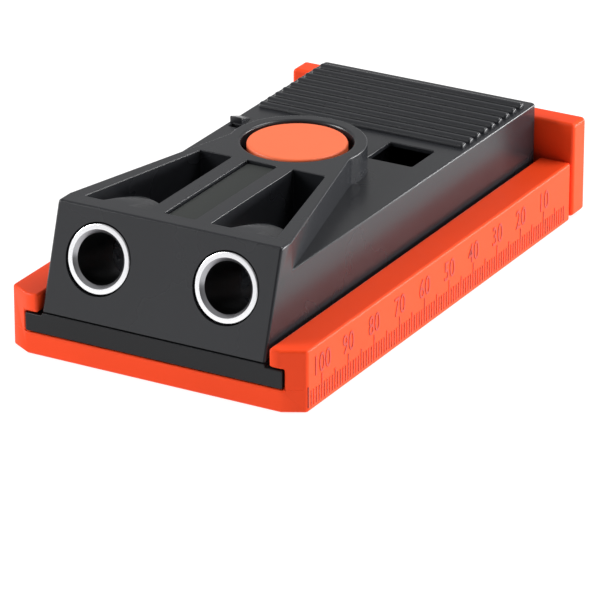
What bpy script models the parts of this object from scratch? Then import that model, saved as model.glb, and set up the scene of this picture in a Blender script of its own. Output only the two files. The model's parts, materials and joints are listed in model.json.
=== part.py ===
"""Two-hole pocket-hole drilling jig: a black jig body that slides in an orange base tray.

Axes: +X to the right, +Y to the rear (towards the fence), +Z up, in metres.
The origin is under the middle of the whole object, on the surface it stands on.
Places along the jig are given as distances forward of the body's rear end.
"""

import math

import bmesh
import bpy
from mathutils import Vector

MM = 0.001

# ---- driving dimensions ----------------------------------------------------------------------

FIT_GAP = 0.3 * MM              # clearance between any two pieces that touch or slide
OVERSHOOT = 2.0 * MM            # how far a cutter runs past the face it opens

# base tray
TRAY_WIDTH = 64.0 * MM
TRAY_LENGTH = 109.5 * MM
RAIL_HEIGHT = 12.5 * MM
FLOOR_THICK = 4.5 * MM
SLOT_HEIGHT = 4.2 * MM          # the slot under each rail lip
RAIL_WALL = 3.9 * MM            # rail thickness outside the slot
LIP_REACH = 3.0 * MM            # how far each lip hangs over the slot
NOSE_CUT_ACROSS = 4.4 * MM      # corner cuts at the tray's front
NOSE_CUT_ALONG = 2.4 * MM
EXIT_SLOT_WIDTH = 11.0 * MM     # slots in the floor that the drill comes out of
EXIT_SLOT_REAR = 5.9 * MM       # floor left behind the slots
EXIT_SLOT_FRONT = 7.2 * MM      # floor left in front of them

# rear fence
FENCE_THICK = 5.4 * MM
FENCE_OVERHANG = 0.4 * MM
FENCE_BOTTOM = 0.6 * MM
FENCE_TOP = 20.6 * MM
FENCE_SCREW_FROM_SIDE = 3.0 * MM
FENCE_SCREW_BELOW_TOP = 2.3 * MM   # below the rail's top

# jig body
BODY_WIDTH = 48.4 * MM
BODY_REAR_GAP = 0.7 * MM        # to the fence when pushed right back
BAND_HEIGHT = 4.2 * MM          # the slide plate's visible band
DECK_HEIGHT = 24.0 * MM
TOWER_HEIGHT = 29.8 * MM
TOWER_JOIN = 99.0 * MM          # where its sides meet the body's, from the body's rear end
TOWER_END_RADIUS = 13.6 * MM
FACE_LEAN = math.radians(17.5)
FACE_SETBACK = 0.2 * MM         # from the slide plate's front
SLIDE_TRAVEL = 38.0 * MM

# drill guides
DRILL_ANGLE = math.radians(15.0)
HOLE_SPACING = 27.6 * MM
HOLE_MOUTH_HEIGHT = 20.7 * MM   # bore centre on the leaning face
SLEEVE_OUTER = 13.5 * MM
SLEEVE_BORE = 10.0 * MM
SLEEVE_LENGTH = 14.0 * MM
SLEEVE_MOUTH_CHAMFER = 0.5 * MM
SLEEVE_LEAD_IN = 0.7 * MM       # depth of that chamfer
SLEEVE_SINK = 0.15 * MM         # below the face at the bore's centre
BOSS_WALL = 3.8 * MM
BOSS_EDGE = 1.6 * MM            # chamfer round the boss's inner end
BOSS_LIP = 1.1 * MM             # behind the sleeve's inner end
DRILL_PATH = 10.6 * MM          # clearance bore behind the sleeves
DRILL_LEAD = 4.0 * MM           # cutters start this far in front of the face
DRILL_REACH = 90.0 * MM

# tower top
WINDOW_REAR = 67.7 * MM         # from the body's rear end
WINDOW_LENGTH = 30.8 * MM
WINDOW_INNER = 6.7 * MM         # from the middle plane
WINDOW_SIDE_WALL = 3.2 * MM
WINDOW_FLOOR = 14.0 * MM        # height of the chip window's lowest point
RECESS_WIDTH = 6.8 * MM
RECESS_DEPTH = 1.8 * MM
INLAY_THICK = 0.9 * MM

# deck
DECK_WINDOW_WIDTH = 10.0 * MM
DECK_WINDOW_LENGTH = 9.6 * MM
DECK_WINDOW_FROM_REAR = 33.0 * MM
DECK_WINDOW_OFFSET = 13.9 * MM  # its middle, from the middle plane
RIB_COUNT = 9
RIB_PITCH = 3.07 * MM
RIB_FIRST = 3.95 * MM           # the rearmost rib, from the body's rear end
RIB_LENGTH = 46.2 * MM
RIB_WIDTH = 2.3 * MM
RIB_HEIGHT = 1.0 * MM
LUG_FROM_REAR = 35.1 * MM
LUG_LENGTH = 4.1 * MM
LUG_HEIGHT = 1.3 * MM
LUG_WIDTH = 2.7 * MM
LUG_INSET = 0.3 * MM            # from the deck's side and from its notch
LUG_NOTCH = 1.8 * MM            # along the deck's edge
LUG_NOTCH_OFFSET = 0.8 * MM     # how far the notch sits inwards of the lug
LUG_NOTCH_DEPTH = 1.6 * MM

# Shares of a screw's own sizes
SOCKET_SHARE = 0.5              # socket radius, of the head's radius
SOCKET_DEPTH_SHARE = 0.55       # socket depth, of the head's height
HEAD_EDGE_SHARE = 0.2           # head chamfer, of the head's height
TIP_SHARE = 0.5                 # tip chamfer, of the shank's radius

# release button and lock
BUTTON_FROM_REAR = 54.2 * MM
BUTTON_RADIUS = 9.85 * MM
BUTTON_EDGE = 0.3 * MM
BUTTON_SUNK = 0.1 * MM          # its top, below the tower's
BUTTON_SKIRT = 6.1 * MM
BUTTON_ROOF = 2.1 * MM
BUTTON_WALL = 1.6 * MM
BUTTON_TRAVEL = 2.0 * MM
WELL_GAP = 1.1 * MM             # ring gap around the button
WELL_DEPTH = 9.8 * MM
STEM_RADIUS = 1.8 * MM
GUIDE_WALL = 1.9 * MM
GUIDE_FLANGE = 1.0 * MM
GUIDE_FLANGE_REACH = 2.0 * MM
GUIDE_SEAT_RISE = 3.3 * MM      # from the shell's underside to the guide's lower end
CLIP_THICK = 0.8 * MM
CLIP_RADIUS = 3.8 * MM
CLIP_POCKET_GAP = 1.1 * MM
CLIP_OPENING = math.radians(70)
CLIP_GROOVE = 0.5 * MM          # depth of its groove in the stem
SPRING_WIRE = 0.7 * MM
SPRING_TURNS = 4
SPRING_STEPS = 16               # per turn
SPRING_SIDES = 6                # round the wire
SPRING_MEAN_RADIUS = 3.85 * MM

RAIL_BAR_WIDTH = 12.0 * MM      # lock rail, let into the tray floor
RAIL_BAR_TOP = 8.5 * MM
RAIL_BAR_WALL = 1.2 * MM
RAIL_END_BLOCK = 5.0 * MM
GROOVE_FLOOR = 2.4 * MM
SHOE_LENGTH = 8.0 * MM
SHOE_THICK = 1.4 * MM
SHOE_SIDE_GAP = 0.4 * MM
SHOE_COUNTERBORE = 0.5 * MM

# screws: shank radius, head radius, head height
FENCE_SCREW = (1.1 * MM, 2.1 * MM, 1.6 * MM)
RAIL_SCREW = (1.1 * MM, 2.1 * MM, 0.9 * MM)
PLATE_SCREW = (1.1 * MM, 2.1 * MM, 1.2 * MM)
SHOE_SCREW = (0.8 * MM, 1.7 * MM, 0.8 * MM)
FENCE_SCREW_GRIP = 9.0 * MM     # thread length in the tray
RAIL_SCREW_GRIP = 4.0 * MM
PLATE_SCREW_GRIP = 4.6 * MM
SHOE_SCREW_GRIP = 3.0 * MM
PLATE_SCREW_REAR = 8.0 * MM     # from the plate's rear end
PLATE_SCREW_FRONT = 6.0 * MM    # from the plate's front end
PLATE_SCREW_INSET = 3.2 * MM    # from the body's side

# coring of the shell
REAR_CORE_WIDTH = 33.0 * MM
REAR_CORE_START = 4.5 * MM
REAR_CORE_LENGTH = 26.5 * MM
ROOF_THICK = 2.2 * MM
FRONT_CORE_WIDTH = 10.0 * MM
SIDE_CORE_MARGIN = 1.3 * MM     # the core under the deck window, past the window's edges
SIDE_CORE_LAP = 1.0 * MM        # how far it runs into the rear core
SIDE_CORE_ROOF = 0.9 * MM       # the thinner deck round the window

ROUND_STEPS = 40
SMALL_STEPS = 12
CLIP_STEPS = 24

# ---- derived places --------------------------------------------------------------------------

OVERALL_LENGTH = TRAY_LENGTH + FIT_GAP + FENCE_THICK
TRAY_FRONT_Y = -OVERALL_LENGTH / 2
TRAY_REAR_Y = TRAY_FRONT_Y + TRAY_LENGTH
FENCE_FRONT_Y = TRAY_REAR_Y + FIT_GAP
FENCE_REAR_Y = FENCE_FRONT_Y + FENCE_THICK
BODY_REAR_Y = FENCE_FRONT_Y - BODY_REAR_GAP

TRAY_HALF = TRAY_WIDTH / 2
SLOT_HALF = TRAY_HALF - RAIL_WALL
LIP_HALF = SLOT_HALF - LIP_REACH
SLOT_TOP = FLOOR_THICK + SLOT_HEIGHT
FENCE_HALF = TRAY_HALF + FENCE_OVERHANG

PLATE_BOTTOM = FLOOR_THICK + FIT_GAP
WING_TOP = SLOT_TOP - FIT_GAP
PLATE_TOP = PLATE_BOTTOM + BAND_HEIGHT
SHELL_BOTTOM = PLATE_TOP + FIT_GAP
BODY_HALF = BODY_WIDTH / 2
FACE_FOOT_Y = TRAY_FRONT_Y + FACE_SETBACK

HOLE_HALF = HOLE_SPACING / 2
BUTTON_Y = BODY_REAR_Y - BUTTON_FROM_REAR
WELL_RADIUS = BUTTON_RADIUS + WELL_GAP
WELL_FLOOR = TOWER_HEIGHT - WELL_DEPTH
BUTTON_TOP = TOWER_HEIGHT - BUTTON_SUNK
BUTTON_CEILING = BUTTON_TOP - BUTTON_ROOF
STEM_HOLE = STEM_RADIUS + FIT_GAP
GUIDE_RADIUS = STEM_HOLE + GUIDE_WALL
GUIDE_TOP = WELL_FLOOR + FIT_GAP + GUIDE_FLANGE
GUIDE_SEAT = SHELL_BOTTOM + GUIDE_SEAT_RISE
GUIDE_BOTTOM = GUIDE_SEAT + FIT_GAP
CLIP_TOP = GUIDE_BOTTOM - FIT_GAP

RAIL_ROOF = RAIL_BAR_TOP - RAIL_BAR_WALL
SHOE_TOP = RAIL_ROOF - FIT_GAP
SHOE_BOTTOM = SHOE_TOP - SHOE_THICK
STEM_BOTTOM = SHOE_TOP + FIT_GAP
STEM_TOP = BUTTON_CEILING - FIT_GAP
RAIL_POCKET_REAR_Y = BUTTON_Y + SHOE_LENGTH / 2 + FIT_GAP
RAIL_POCKET_FRONT_Y = BUTTON_Y - SLIDE_TRAVEL - SHOE_LENGTH / 2 - FIT_GAP
RAIL_REAR_Y = RAIL_POCKET_REAR_Y + RAIL_END_BLOCK
RAIL_FRONT_Y = RAIL_POCKET_FRONT_Y - RAIL_END_BLOCK


# ---- modelling helpers -----------------------------------------------------------------------

def clear_scene():
    """Remove what the start-up file holds."""
    for thing in list(bpy.data.objects):
        bpy.data.objects.remove(thing, do_unlink=True)


def add_object(name, bm, smooth=False):
    """Turn a bmesh into an object with outward faces."""
    bmesh.ops.recalc_face_normals(bm, faces=bm.faces)
    mesh = bpy.data.meshes.new(name)
    bm.to_mesh(mesh)
    bm.free()
    if smooth:
        mesh.shade_smooth()
        mesh.set_sharp_from_angle(angle=math.radians(35))
    thing = bpy.data.objects.new(name, mesh)
    bpy.context.collection.objects.link(thing)
    return thing


def prism(name, outline, low, high, axis="Z"):
    """Extrude a flat outline from low to high along Z, or along Y for an (x, z) outline."""
    bm = bmesh.new()
    if axis == "Z":
        corners = [Vector((a, b, low)) for a, b in outline]
        step = Vector((0, 0, high - low))
    elif axis == "Y":
        corners = [Vector((a, low, b)) for a, b in outline]
        step = Vector((0, high - low, 0))
    else:
        corners = [Vector((low, a, b)) for a, b in outline]
        step = Vector((high - low, 0, 0))
    first = [bm.verts.new(corner) for corner in corners]
    last = [bm.verts.new(corner + step) for corner in corners]
    bm.faces.new(first)
    bm.faces.new(last)
    for i, corner in enumerate(first):
        j = (i + 1) % len(first)
        bm.faces.new((corner, first[j], last[j], last[i]))
    return add_object(name, bm)


def block(name, x_range, y_range, z_range):
    """A box between three pairs of limits."""
    x0, x1 = x_range
    y0, y1 = y_range
    return prism(name, [(x0, y0), (x1, y0), (x1, y1), (x0, y1)], *z_range)


def turned(name, profile, steps=ROUND_STEPS, ring=False):
    """Spin an (radius, height) profile about Z; a ring's profile closes on itself."""
    bm = bmesh.new()
    loops = []
    for radius, height in profile:
        if radius == 0:
            loops.append([bm.verts.new((0, 0, height))] * steps)
            continue
        loop = []
        for i in range(steps):
            angle = 2 * math.pi * i / steps
            loop.append(bm.verts.new((radius * math.cos(angle), radius * math.sin(angle), height)))
        loops.append(loop)
    pairs = list(zip(loops, loops[1:]))
    if ring:
        pairs.append((loops[-1], loops[0]))
    for lower, upper in pairs:
        for i in range(steps):
            j = (i + 1) % steps
            corners = [lower[i], lower[j], upper[j], upper[i]]
            bm.faces.new(list(dict.fromkeys(corners)))
    return add_object(name, bm, smooth=True)


def rod(name, radius, low, high, steps=ROUND_STEPS):
    """A plain cylinder on the Z axis."""
    return turned(name, [(0, low), (radius, low), (radius, high), (0, high)], steps)


def place(thing, x=0.0, y=0.0, z=0.0, tilt=0.0):
    """Set an object's place and its turn about X."""
    thing.location = (x, y, z)
    thing.rotation_euler = (tilt, 0, 0)
    return thing


def hide_tool(tool):
    """Mark a cutter or an added block as a modelling aid."""
    tool.hide_render = True
    tool.display_type = "WIRE"


def combine(target, tool, operation):
    """Add a live Boolean modifier to the target."""
    modifier = target.modifiers.new(tool.name, "BOOLEAN")
    modifier.operation = operation
    modifier.object = tool
    hide_tool(tool)


def cut(target, tool):
    """Cut a tool's shape out of the target."""
    combine(target, tool, "DIFFERENCE")


def join(target, tool):
    """Grow the target by a tool's shape."""
    combine(target, tool, "UNION")


def material(name, colour, roughness, metallic=0.0):
    """A Principled material."""
    made = bpy.data.materials.new(name)
    made.use_nodes = True
    shader = made.node_tree.nodes["Principled BSDF"]
    shader.inputs["Base Color"].default_value = (*colour, 1)
    shader.inputs["Roughness"].default_value = roughness
    shader.inputs["Metallic"].default_value = metallic
    return made


def finish_piece(thing, colour, roughness, metallic=0.0):
    """Give a piece its own material."""
    thing.data.materials.append(material(thing.name + "_material", colour, roughness, metallic))
    return thing


ORANGE = (0.85, 0.16, 0.04)
BUTTON_ORANGE = (0.9, 0.22, 0.08)
BLACK = (0.035, 0.035, 0.037)
PLATE_BLACK = (0.02, 0.02, 0.022)
INLAY_GREY = (0.05, 0.055, 0.05)
STEEL = (0.72, 0.72, 0.74)
BRASS = (0.7, 0.52, 0.22)


def screw(name, sizes, shank, steps=SMALL_STEPS):
    """A cap screw on the Z axis: head below z = 0, shank above it, with a socket in the head."""
    radius, head_radius, head_height = sizes
    socket = head_radius * SOCKET_SHARE
    depth = head_height * SOCKET_DEPTH_SHARE
    edge = head_height * HEAD_EDGE_SHARE
    tip = radius * TIP_SHARE
    profile = [(0, depth - head_height), (socket, depth - head_height), (socket, -head_height)]
    profile += [(head_radius - edge, -head_height), (head_radius, edge - head_height)]
    profile += [(head_radius, 0), (radius, 0), (radius, shank - tip)]
    profile += [(radius - tip, shank), (0, shank)]
    return finish_piece(turned(name, profile, steps), STEEL, 0.3, 1.0)


def screw_hole(name, sizes, head_depth, shank, steps=SMALL_STEPS):
    """The counterbore below z = 0 and the shank hole above it, for a screw on the Z axis."""
    radius, head_radius, _ = sizes
    wide = head_radius + FIT_GAP
    narrow = radius + FIT_GAP
    profile = [(0, -head_depth - OVERSHOOT), (wide, -head_depth - OVERSHOOT), (wide, FIT_GAP)]
    profile += [(narrow, FIT_GAP), (narrow, shank + FIT_GAP), (0, shank + FIT_GAP)]
    return turned(name, profile, steps)


def forward(distance):
    """The Y of a place this far forward of the body's rear end."""
    return BODY_REAR_Y - distance


def face_y(height):
    """The Y of the leaning front face at a height."""
    return FACE_FOOT_Y + (height - SHELL_BOTTOM) * math.tan(FACE_LEAN)


def tower_lean_angle():
    """The angle between the tower's straight sides and the Y axis."""
    along = BUTTON_Y - forward(TOWER_JOIN)
    reach = math.hypot(BODY_HALF, along)
    return math.atan2(BODY_HALF, along) - math.asin(TOWER_END_RADIUS / reach)


def tower_side_x(y):
    """Half of the tower's width, on its straight side, at a Y."""
    return BODY_HALF - (y - forward(TOWER_JOIN)) * math.tan(tower_lean_angle())


# ---- base tray and its fittings --------------------------------------------------------------

def make_base_tray():
    """The orange tray: a floor, two slotted rails, drill exits and a groove for the lock rail."""
    right = [
        (TRAY_HALF, 0), (TRAY_HALF, RAIL_HEIGHT), (LIP_HALF, RAIL_HEIGHT), (LIP_HALF, SLOT_TOP),
        (SLOT_HALF, SLOT_TOP), (SLOT_HALF, FLOOR_THICK),
    ]
    left = [(-x, z) for x, z in reversed(right)]
    tray = prism("base_tray", right + left, TRAY_FRONT_Y, TRAY_REAR_Y, axis="Y")
    for side, word in ((-1, "left"), (1, "right")):
        outer = side * (TRAY_HALF + OVERSHOOT)
        slope = NOSE_CUT_ACROSS / NOSE_CUT_ALONG
        corner = [
            (side * (TRAY_HALF - NOSE_CUT_ACROSS - slope * OVERSHOOT), TRAY_FRONT_Y - OVERSHOOT),
            (outer, TRAY_FRONT_Y - OVERSHOOT),
            (outer, TRAY_FRONT_Y + NOSE_CUT_ALONG + OVERSHOOT / slope),
        ]
        cut(tray, prism(f"nose_cut_{word}", corner, -OVERSHOOT, RAIL_HEIGHT + OVERSHOOT))
        middle = side * HOLE_HALF
        exit_x = (middle - EXIT_SLOT_WIDTH / 2, middle + EXIT_SLOT_WIDTH / 2)
        exit_y = (TRAY_FRONT_Y + EXIT_SLOT_FRONT, TRAY_REAR_Y - EXIT_SLOT_REAR)
        cut(tray, block(f"exit_slot_{word}", exit_x, exit_y, (-OVERSHOOT, FLOOR_THICK + OVERSHOOT)))
        hole = screw_hole(f"tray_screw_hole_{word}", FENCE_SCREW, 0, FENCE_SCREW_GRIP + FIT_GAP)
        cut(tray, place(hole, fence_screw_x(side), TRAY_REAR_Y, fence_screw_z(), math.pi / 2))
    groove = RAIL_BAR_WIDTH / 2 + FIT_GAP
    groove_y = (RAIL_FRONT_Y - FIT_GAP, RAIL_REAR_Y + FIT_GAP)
    cut(tray, block("rail_groove", (-groove, groove), groove_y, (GROOVE_FLOOR, SLOT_TOP)))
    for y, word in rail_screw_places():
        hole = screw_hole(f"rail_screw_hole_{word}", RAIL_SCREW, rail_screw_seat(), RAIL_SCREW_GRIP)
        cut(tray, place(hole, 0, y, rail_screw_seat()))
    return finish_piece(tray, ORANGE, 0.4)


def fence_screw_x(side):
    """Where a fence screw is, across the tray."""
    return side * (TRAY_HALF - FENCE_SCREW_FROM_SIDE)


def fence_screw_z():
    """The height of the fence screws."""
    return RAIL_HEIGHT - FENCE_SCREW_BELOW_TOP


def rail_screw_places():
    """Where the two screws go up into the lock rail's end blocks."""
    inset = RAIL_END_BLOCK / 2
    return ((RAIL_FRONT_Y + inset, "front"), (RAIL_REAR_Y - inset, "rear"))


def rail_screw_seat():
    """The height of the shoulder under the lock rail's screws."""
    return RAIL_SCREW[2] + FIT_GAP


def make_rear_fence():
    """The upright orange plate behind the rails, held by two screws."""
    fence = block("rear_fence", (-FENCE_HALF, FENCE_HALF), (FENCE_FRONT_Y, FENCE_REAR_Y),
                  (FENCE_BOTTOM, FENCE_TOP))
    seat = FENCE_REAR_Y - FENCE_SCREW[2] - FIT_GAP
    for side, word in ((-1, "left"), (1, "right")):
        hole = screw_hole(f"fence_hole_{word}", FENCE_SCREW, FENCE_SCREW[2], FENCE_THICK)
        cut(fence, place(hole, fence_screw_x(side), seat, fence_screw_z(), math.pi / 2))
        shank = FENCE_THICK + FENCE_SCREW_GRIP - FENCE_SCREW[2]
        fastener = screw(f"fence_screw_{word}", FENCE_SCREW, shank)
        place(fastener, fence_screw_x(side), seat, fence_screw_z(), math.pi / 2)
    return finish_piece(fence, ORANGE, 0.4)


def make_lock_rail():
    """The steel rail in the tray floor: a bar hollowed from below, with a slot for the stem."""
    half = RAIL_BAR_WIDTH / 2
    rail_bottom = GROOVE_FLOOR + FIT_GAP
    rail = block("lock_rail", (-half, half), (RAIL_FRONT_Y, RAIL_REAR_Y), (rail_bottom, RAIL_BAR_TOP))
    inside = half - RAIL_BAR_WALL
    pocket_y = (RAIL_POCKET_FRONT_Y, RAIL_POCKET_REAR_Y)
    cut(rail, block("rail_pocket", (-inside, inside), pocket_y, (rail_bottom - OVERSHOOT, RAIL_ROOF)))
    slot = STEM_RADIUS + 2 * FIT_GAP
    slot_y = (BUTTON_Y - SLIDE_TRAVEL - slot, BUTTON_Y + slot)
    cut(rail, block("rail_slot", (-slot, slot), slot_y, (RAIL_ROOF - OVERSHOOT, RAIL_BAR_TOP + OVERSHOOT)))
    for y, word in rail_screw_places():
        hole = rod(f"rail_thread_{word}", RAIL_SCREW[0] + FIT_GAP, 0, RAIL_SCREW_GRIP + FIT_GAP, SMALL_STEPS)
        cut(rail, place(hole, 0, y, rail_screw_seat()))
        place(screw(f"rail_screw_{word}", RAIL_SCREW, RAIL_SCREW_GRIP), 0, y, rail_screw_seat())
    return finish_piece(rail, STEEL, 0.35, 1.0)


# ---- jig body --------------------------------------------------------------------------------

def make_slide_plate():
    """The black plate that closes the shell's underside and runs under the rail lips."""
    wing = SLOT_HALF - FIT_GAP
    outline = [
        (wing, PLATE_BOTTOM), (wing, WING_TOP), (BODY_HALF, WING_TOP), (BODY_HALF, PLATE_TOP),
        (-BODY_HALF, PLATE_TOP), (-BODY_HALF, WING_TOP), (-wing, WING_TOP), (-wing, PLATE_BOTTOM),
    ]
    plate = prism("slide_plate", outline, TRAY_FRONT_Y, BODY_REAR_Y, axis="Y")
    opening = RAIL_BAR_WIDTH / 2 + 2 * FIT_GAP
    opening_y = (RAIL_FRONT_Y - 2 * FIT_GAP, RAIL_REAR_Y + SLIDE_TRAVEL + 2 * FIT_GAP)
    plate_z = (PLATE_BOTTOM - OVERSHOOT, PLATE_TOP + OVERSHOOT)
    cut(plate, block("rail_opening", (-opening, opening), opening_y, plate_z))
    for side, word in ((-1, "left"), (1, "right")):
        cut(plate, drill_path(f"plate_bore_{word}", side))
    seat = PLATE_BOTTOM + PLATE_SCREW[2]
    for x, y, word in plate_screw_places():
        hole = screw_hole(f"plate_hole_{word}", PLATE_SCREW, PLATE_SCREW[2], BAND_HEIGHT)
        cut(plate, place(hole, x, y, seat))
        length = PLATE_TOP - seat + PLATE_SCREW_GRIP
        place(screw(f"plate_screw_{word}", PLATE_SCREW, length), x, y, seat)
    return finish_piece(plate, PLATE_BLACK, 0.5)


def plate_screw_places():
    """The four screws that hold the slide plate to the shell."""
    places = []
    across = BODY_HALF - PLATE_SCREW_INSET
    for side, side_word in ((-1, "left"), (1, "right")):
        places.append((side * across, TRAY_FRONT_Y + PLATE_SCREW_FRONT, f"front_{side_word}"))
        places.append((side * across, BODY_REAR_Y - PLATE_SCREW_REAR, f"rear_{side_word}"))
    return places


def on_drill_axis(tool, side):
    """Lay a piece or cutter along one drill axis, its zero at the leaning face."""
    mouth_y = face_y(HOLE_MOUTH_HEIGHT)
    return place(tool, side * HOLE_HALF, mouth_y, HOLE_MOUTH_HEIGHT, -math.pi / 2 - DRILL_ANGLE)


def drill_path(name, side):
    """The straight bore that the drill runs in."""
    return on_drill_axis(rod(name, DRILL_PATH / 2, -DRILL_LEAD, DRILL_REACH), side)


def sleeve_bore(name, side):
    """The sleeve's seat with the drill's clearance bore behind it, as one stepped cutter."""
    seat = SLEEVE_OUTER / 2 + FIT_GAP
    end = SLEEVE_SINK + SLEEVE_LENGTH + FIT_GAP
    profile = [
        (0, -DRILL_LEAD), (seat, -DRILL_LEAD), (seat, end), (DRILL_PATH / 2, end),
        (DRILL_PATH / 2, DRILL_REACH), (0, DRILL_REACH),
    ]
    return on_drill_axis(turned(name, profile), side)


def make_chip_window(side, word):
    """The cutter of one chip window, kept clear of the boss around the sleeve."""
    rear_y = forward(WINDOW_REAR)
    front_y = rear_y - WINDOW_LENGTH
    side_wall = WINDOW_SIDE_WALL / math.cos(tower_lean_angle())
    outline = [
        (side * WINDOW_INNER, front_y), (side * (tower_side_x(front_y) - side_wall), front_y),
        (side * (tower_side_x(rear_y) - side_wall), rear_y), (side * WINDOW_INNER, rear_y),
    ]
    window = prism(f"chip_window_{word}", outline, WINDOW_FLOOR, TOWER_HEIGHT + OVERSHOOT)
    boss_radius = SLEEVE_OUTER / 2 + FIT_GAP + BOSS_WALL
    boss_end = SLEEVE_SINK + SLEEVE_LENGTH + FIT_GAP + BOSS_LIP
    profile = [
        (0, -DRILL_LEAD), (boss_radius, -DRILL_LEAD), (boss_radius, boss_end - BOSS_EDGE),
        (boss_radius - BOSS_EDGE, boss_end), (0, boss_end),
    ]
    cut(window, on_drill_axis(turned(f"boss_{word}", profile, ROUND_STEPS + 4), side))
    return window


def make_tower(shell):
    """Raise the tower on the shell: its sides leave the body's and close in on a round rear end."""
    lean = tower_lean_angle()
    join_y = forward(TOWER_JOIN)
    rough_y = FACE_FOOT_Y - OVERSHOOT
    outline = [(BODY_HALF, rough_y), (BODY_HALF, join_y)]
    for i in range(ROUND_STEPS // 2 + 1):
        angle = -lean + (math.pi + 2 * lean) * i / (ROUND_STEPS // 2)
        x = TOWER_END_RADIUS * math.cos(angle)
        outline.append((x, BUTTON_Y + TOWER_END_RADIUS * math.sin(angle)))
    outline += [(-BODY_HALF, join_y), (-BODY_HALF, rough_y)]
    join(shell, prism("tower", outline, DECK_HEIGHT - OVERSHOOT, TOWER_HEIGHT))


def make_ribs(shell):
    """Grip ribs across the rear deck, each with sloping flanks."""
    half = RIB_LENGTH / 2
    for i in range(RIB_COUNT):
        y = forward(RIB_FIRST + i * RIB_PITCH)
        foot = RIB_WIDTH / 2
        crest = RIB_WIDTH / 4
        low = DECK_HEIGHT - OVERSHOOT / 2
        profile = [
            (y - foot, low), (y - foot, DECK_HEIGHT), (y - crest, DECK_HEIGHT + RIB_HEIGHT),
            (y + crest, DECK_HEIGHT + RIB_HEIGHT), (y + foot, DECK_HEIGHT), (y + foot, low),
        ]
        join(shell, prism(f"rib_{i + 1}", profile, -half, half, axis="X"))


def make_lug(shell):
    """The small wedge lug on the deck's left edge, with a notch in front of it."""
    rear = forward(LUG_FROM_REAR)
    front = rear - LUG_LENGTH
    low = DECK_HEIGHT - OVERSHOOT / 2
    profile = [(front, low), (front, DECK_HEIGHT + LUG_HEIGHT), (rear, DECK_HEIGHT), (rear, low)]
    outer = LUG_INSET - BODY_HALF
    inner = outer + LUG_WIDTH
    notch_x = (outer + LUG_NOTCH_OFFSET, inner + LUG_NOTCH_OFFSET)
    notch_y = (front - LUG_INSET - LUG_NOTCH, front - LUG_INSET)
    notch_z = (DECK_HEIGHT - LUG_NOTCH_DEPTH, DECK_HEIGHT + OVERSHOOT)
    cut(shell, block("lug_notch", notch_x, notch_y, notch_z))
    join(shell, prism("lug", profile, outer, inner, axis="X"))


def make_coring(shell):
    """Hollow the shell from below, as a moulding is."""
    roof = DECK_HEIGHT - ROOF_THICK
    low = SHELL_BOTTOM - OVERSHOOT
    half = REAR_CORE_WIDTH / 2
    rear_y = forward(REAR_CORE_START)
    cut(shell, block("rear_core", (-half, half), (rear_y - REAR_CORE_LENGTH, rear_y), (low, roof)))
    half = FRONT_CORE_WIDTH / 2
    core_y = (forward(WINDOW_REAR) - WINDOW_LENGTH, forward(WINDOW_REAR))
    cut(shell, block("front_core", (-half, half), core_y, (low, roof)))
    reach = DECK_WINDOW_WIDTH / 2 + SIDE_CORE_MARGIN
    side_x = (DECK_WINDOW_OFFSET - reach, DECK_WINDOW_OFFSET + reach)
    window_front = forward(DECK_WINDOW_FROM_REAR + DECK_WINDOW_LENGTH)
    side_y = (window_front - SIDE_CORE_MARGIN, rear_y - REAR_CORE_LENGTH + SIDE_CORE_LAP)
    cut(shell, block("side_core", side_x, side_y, (low, DECK_HEIGHT - SIDE_CORE_ROOF)))


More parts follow.
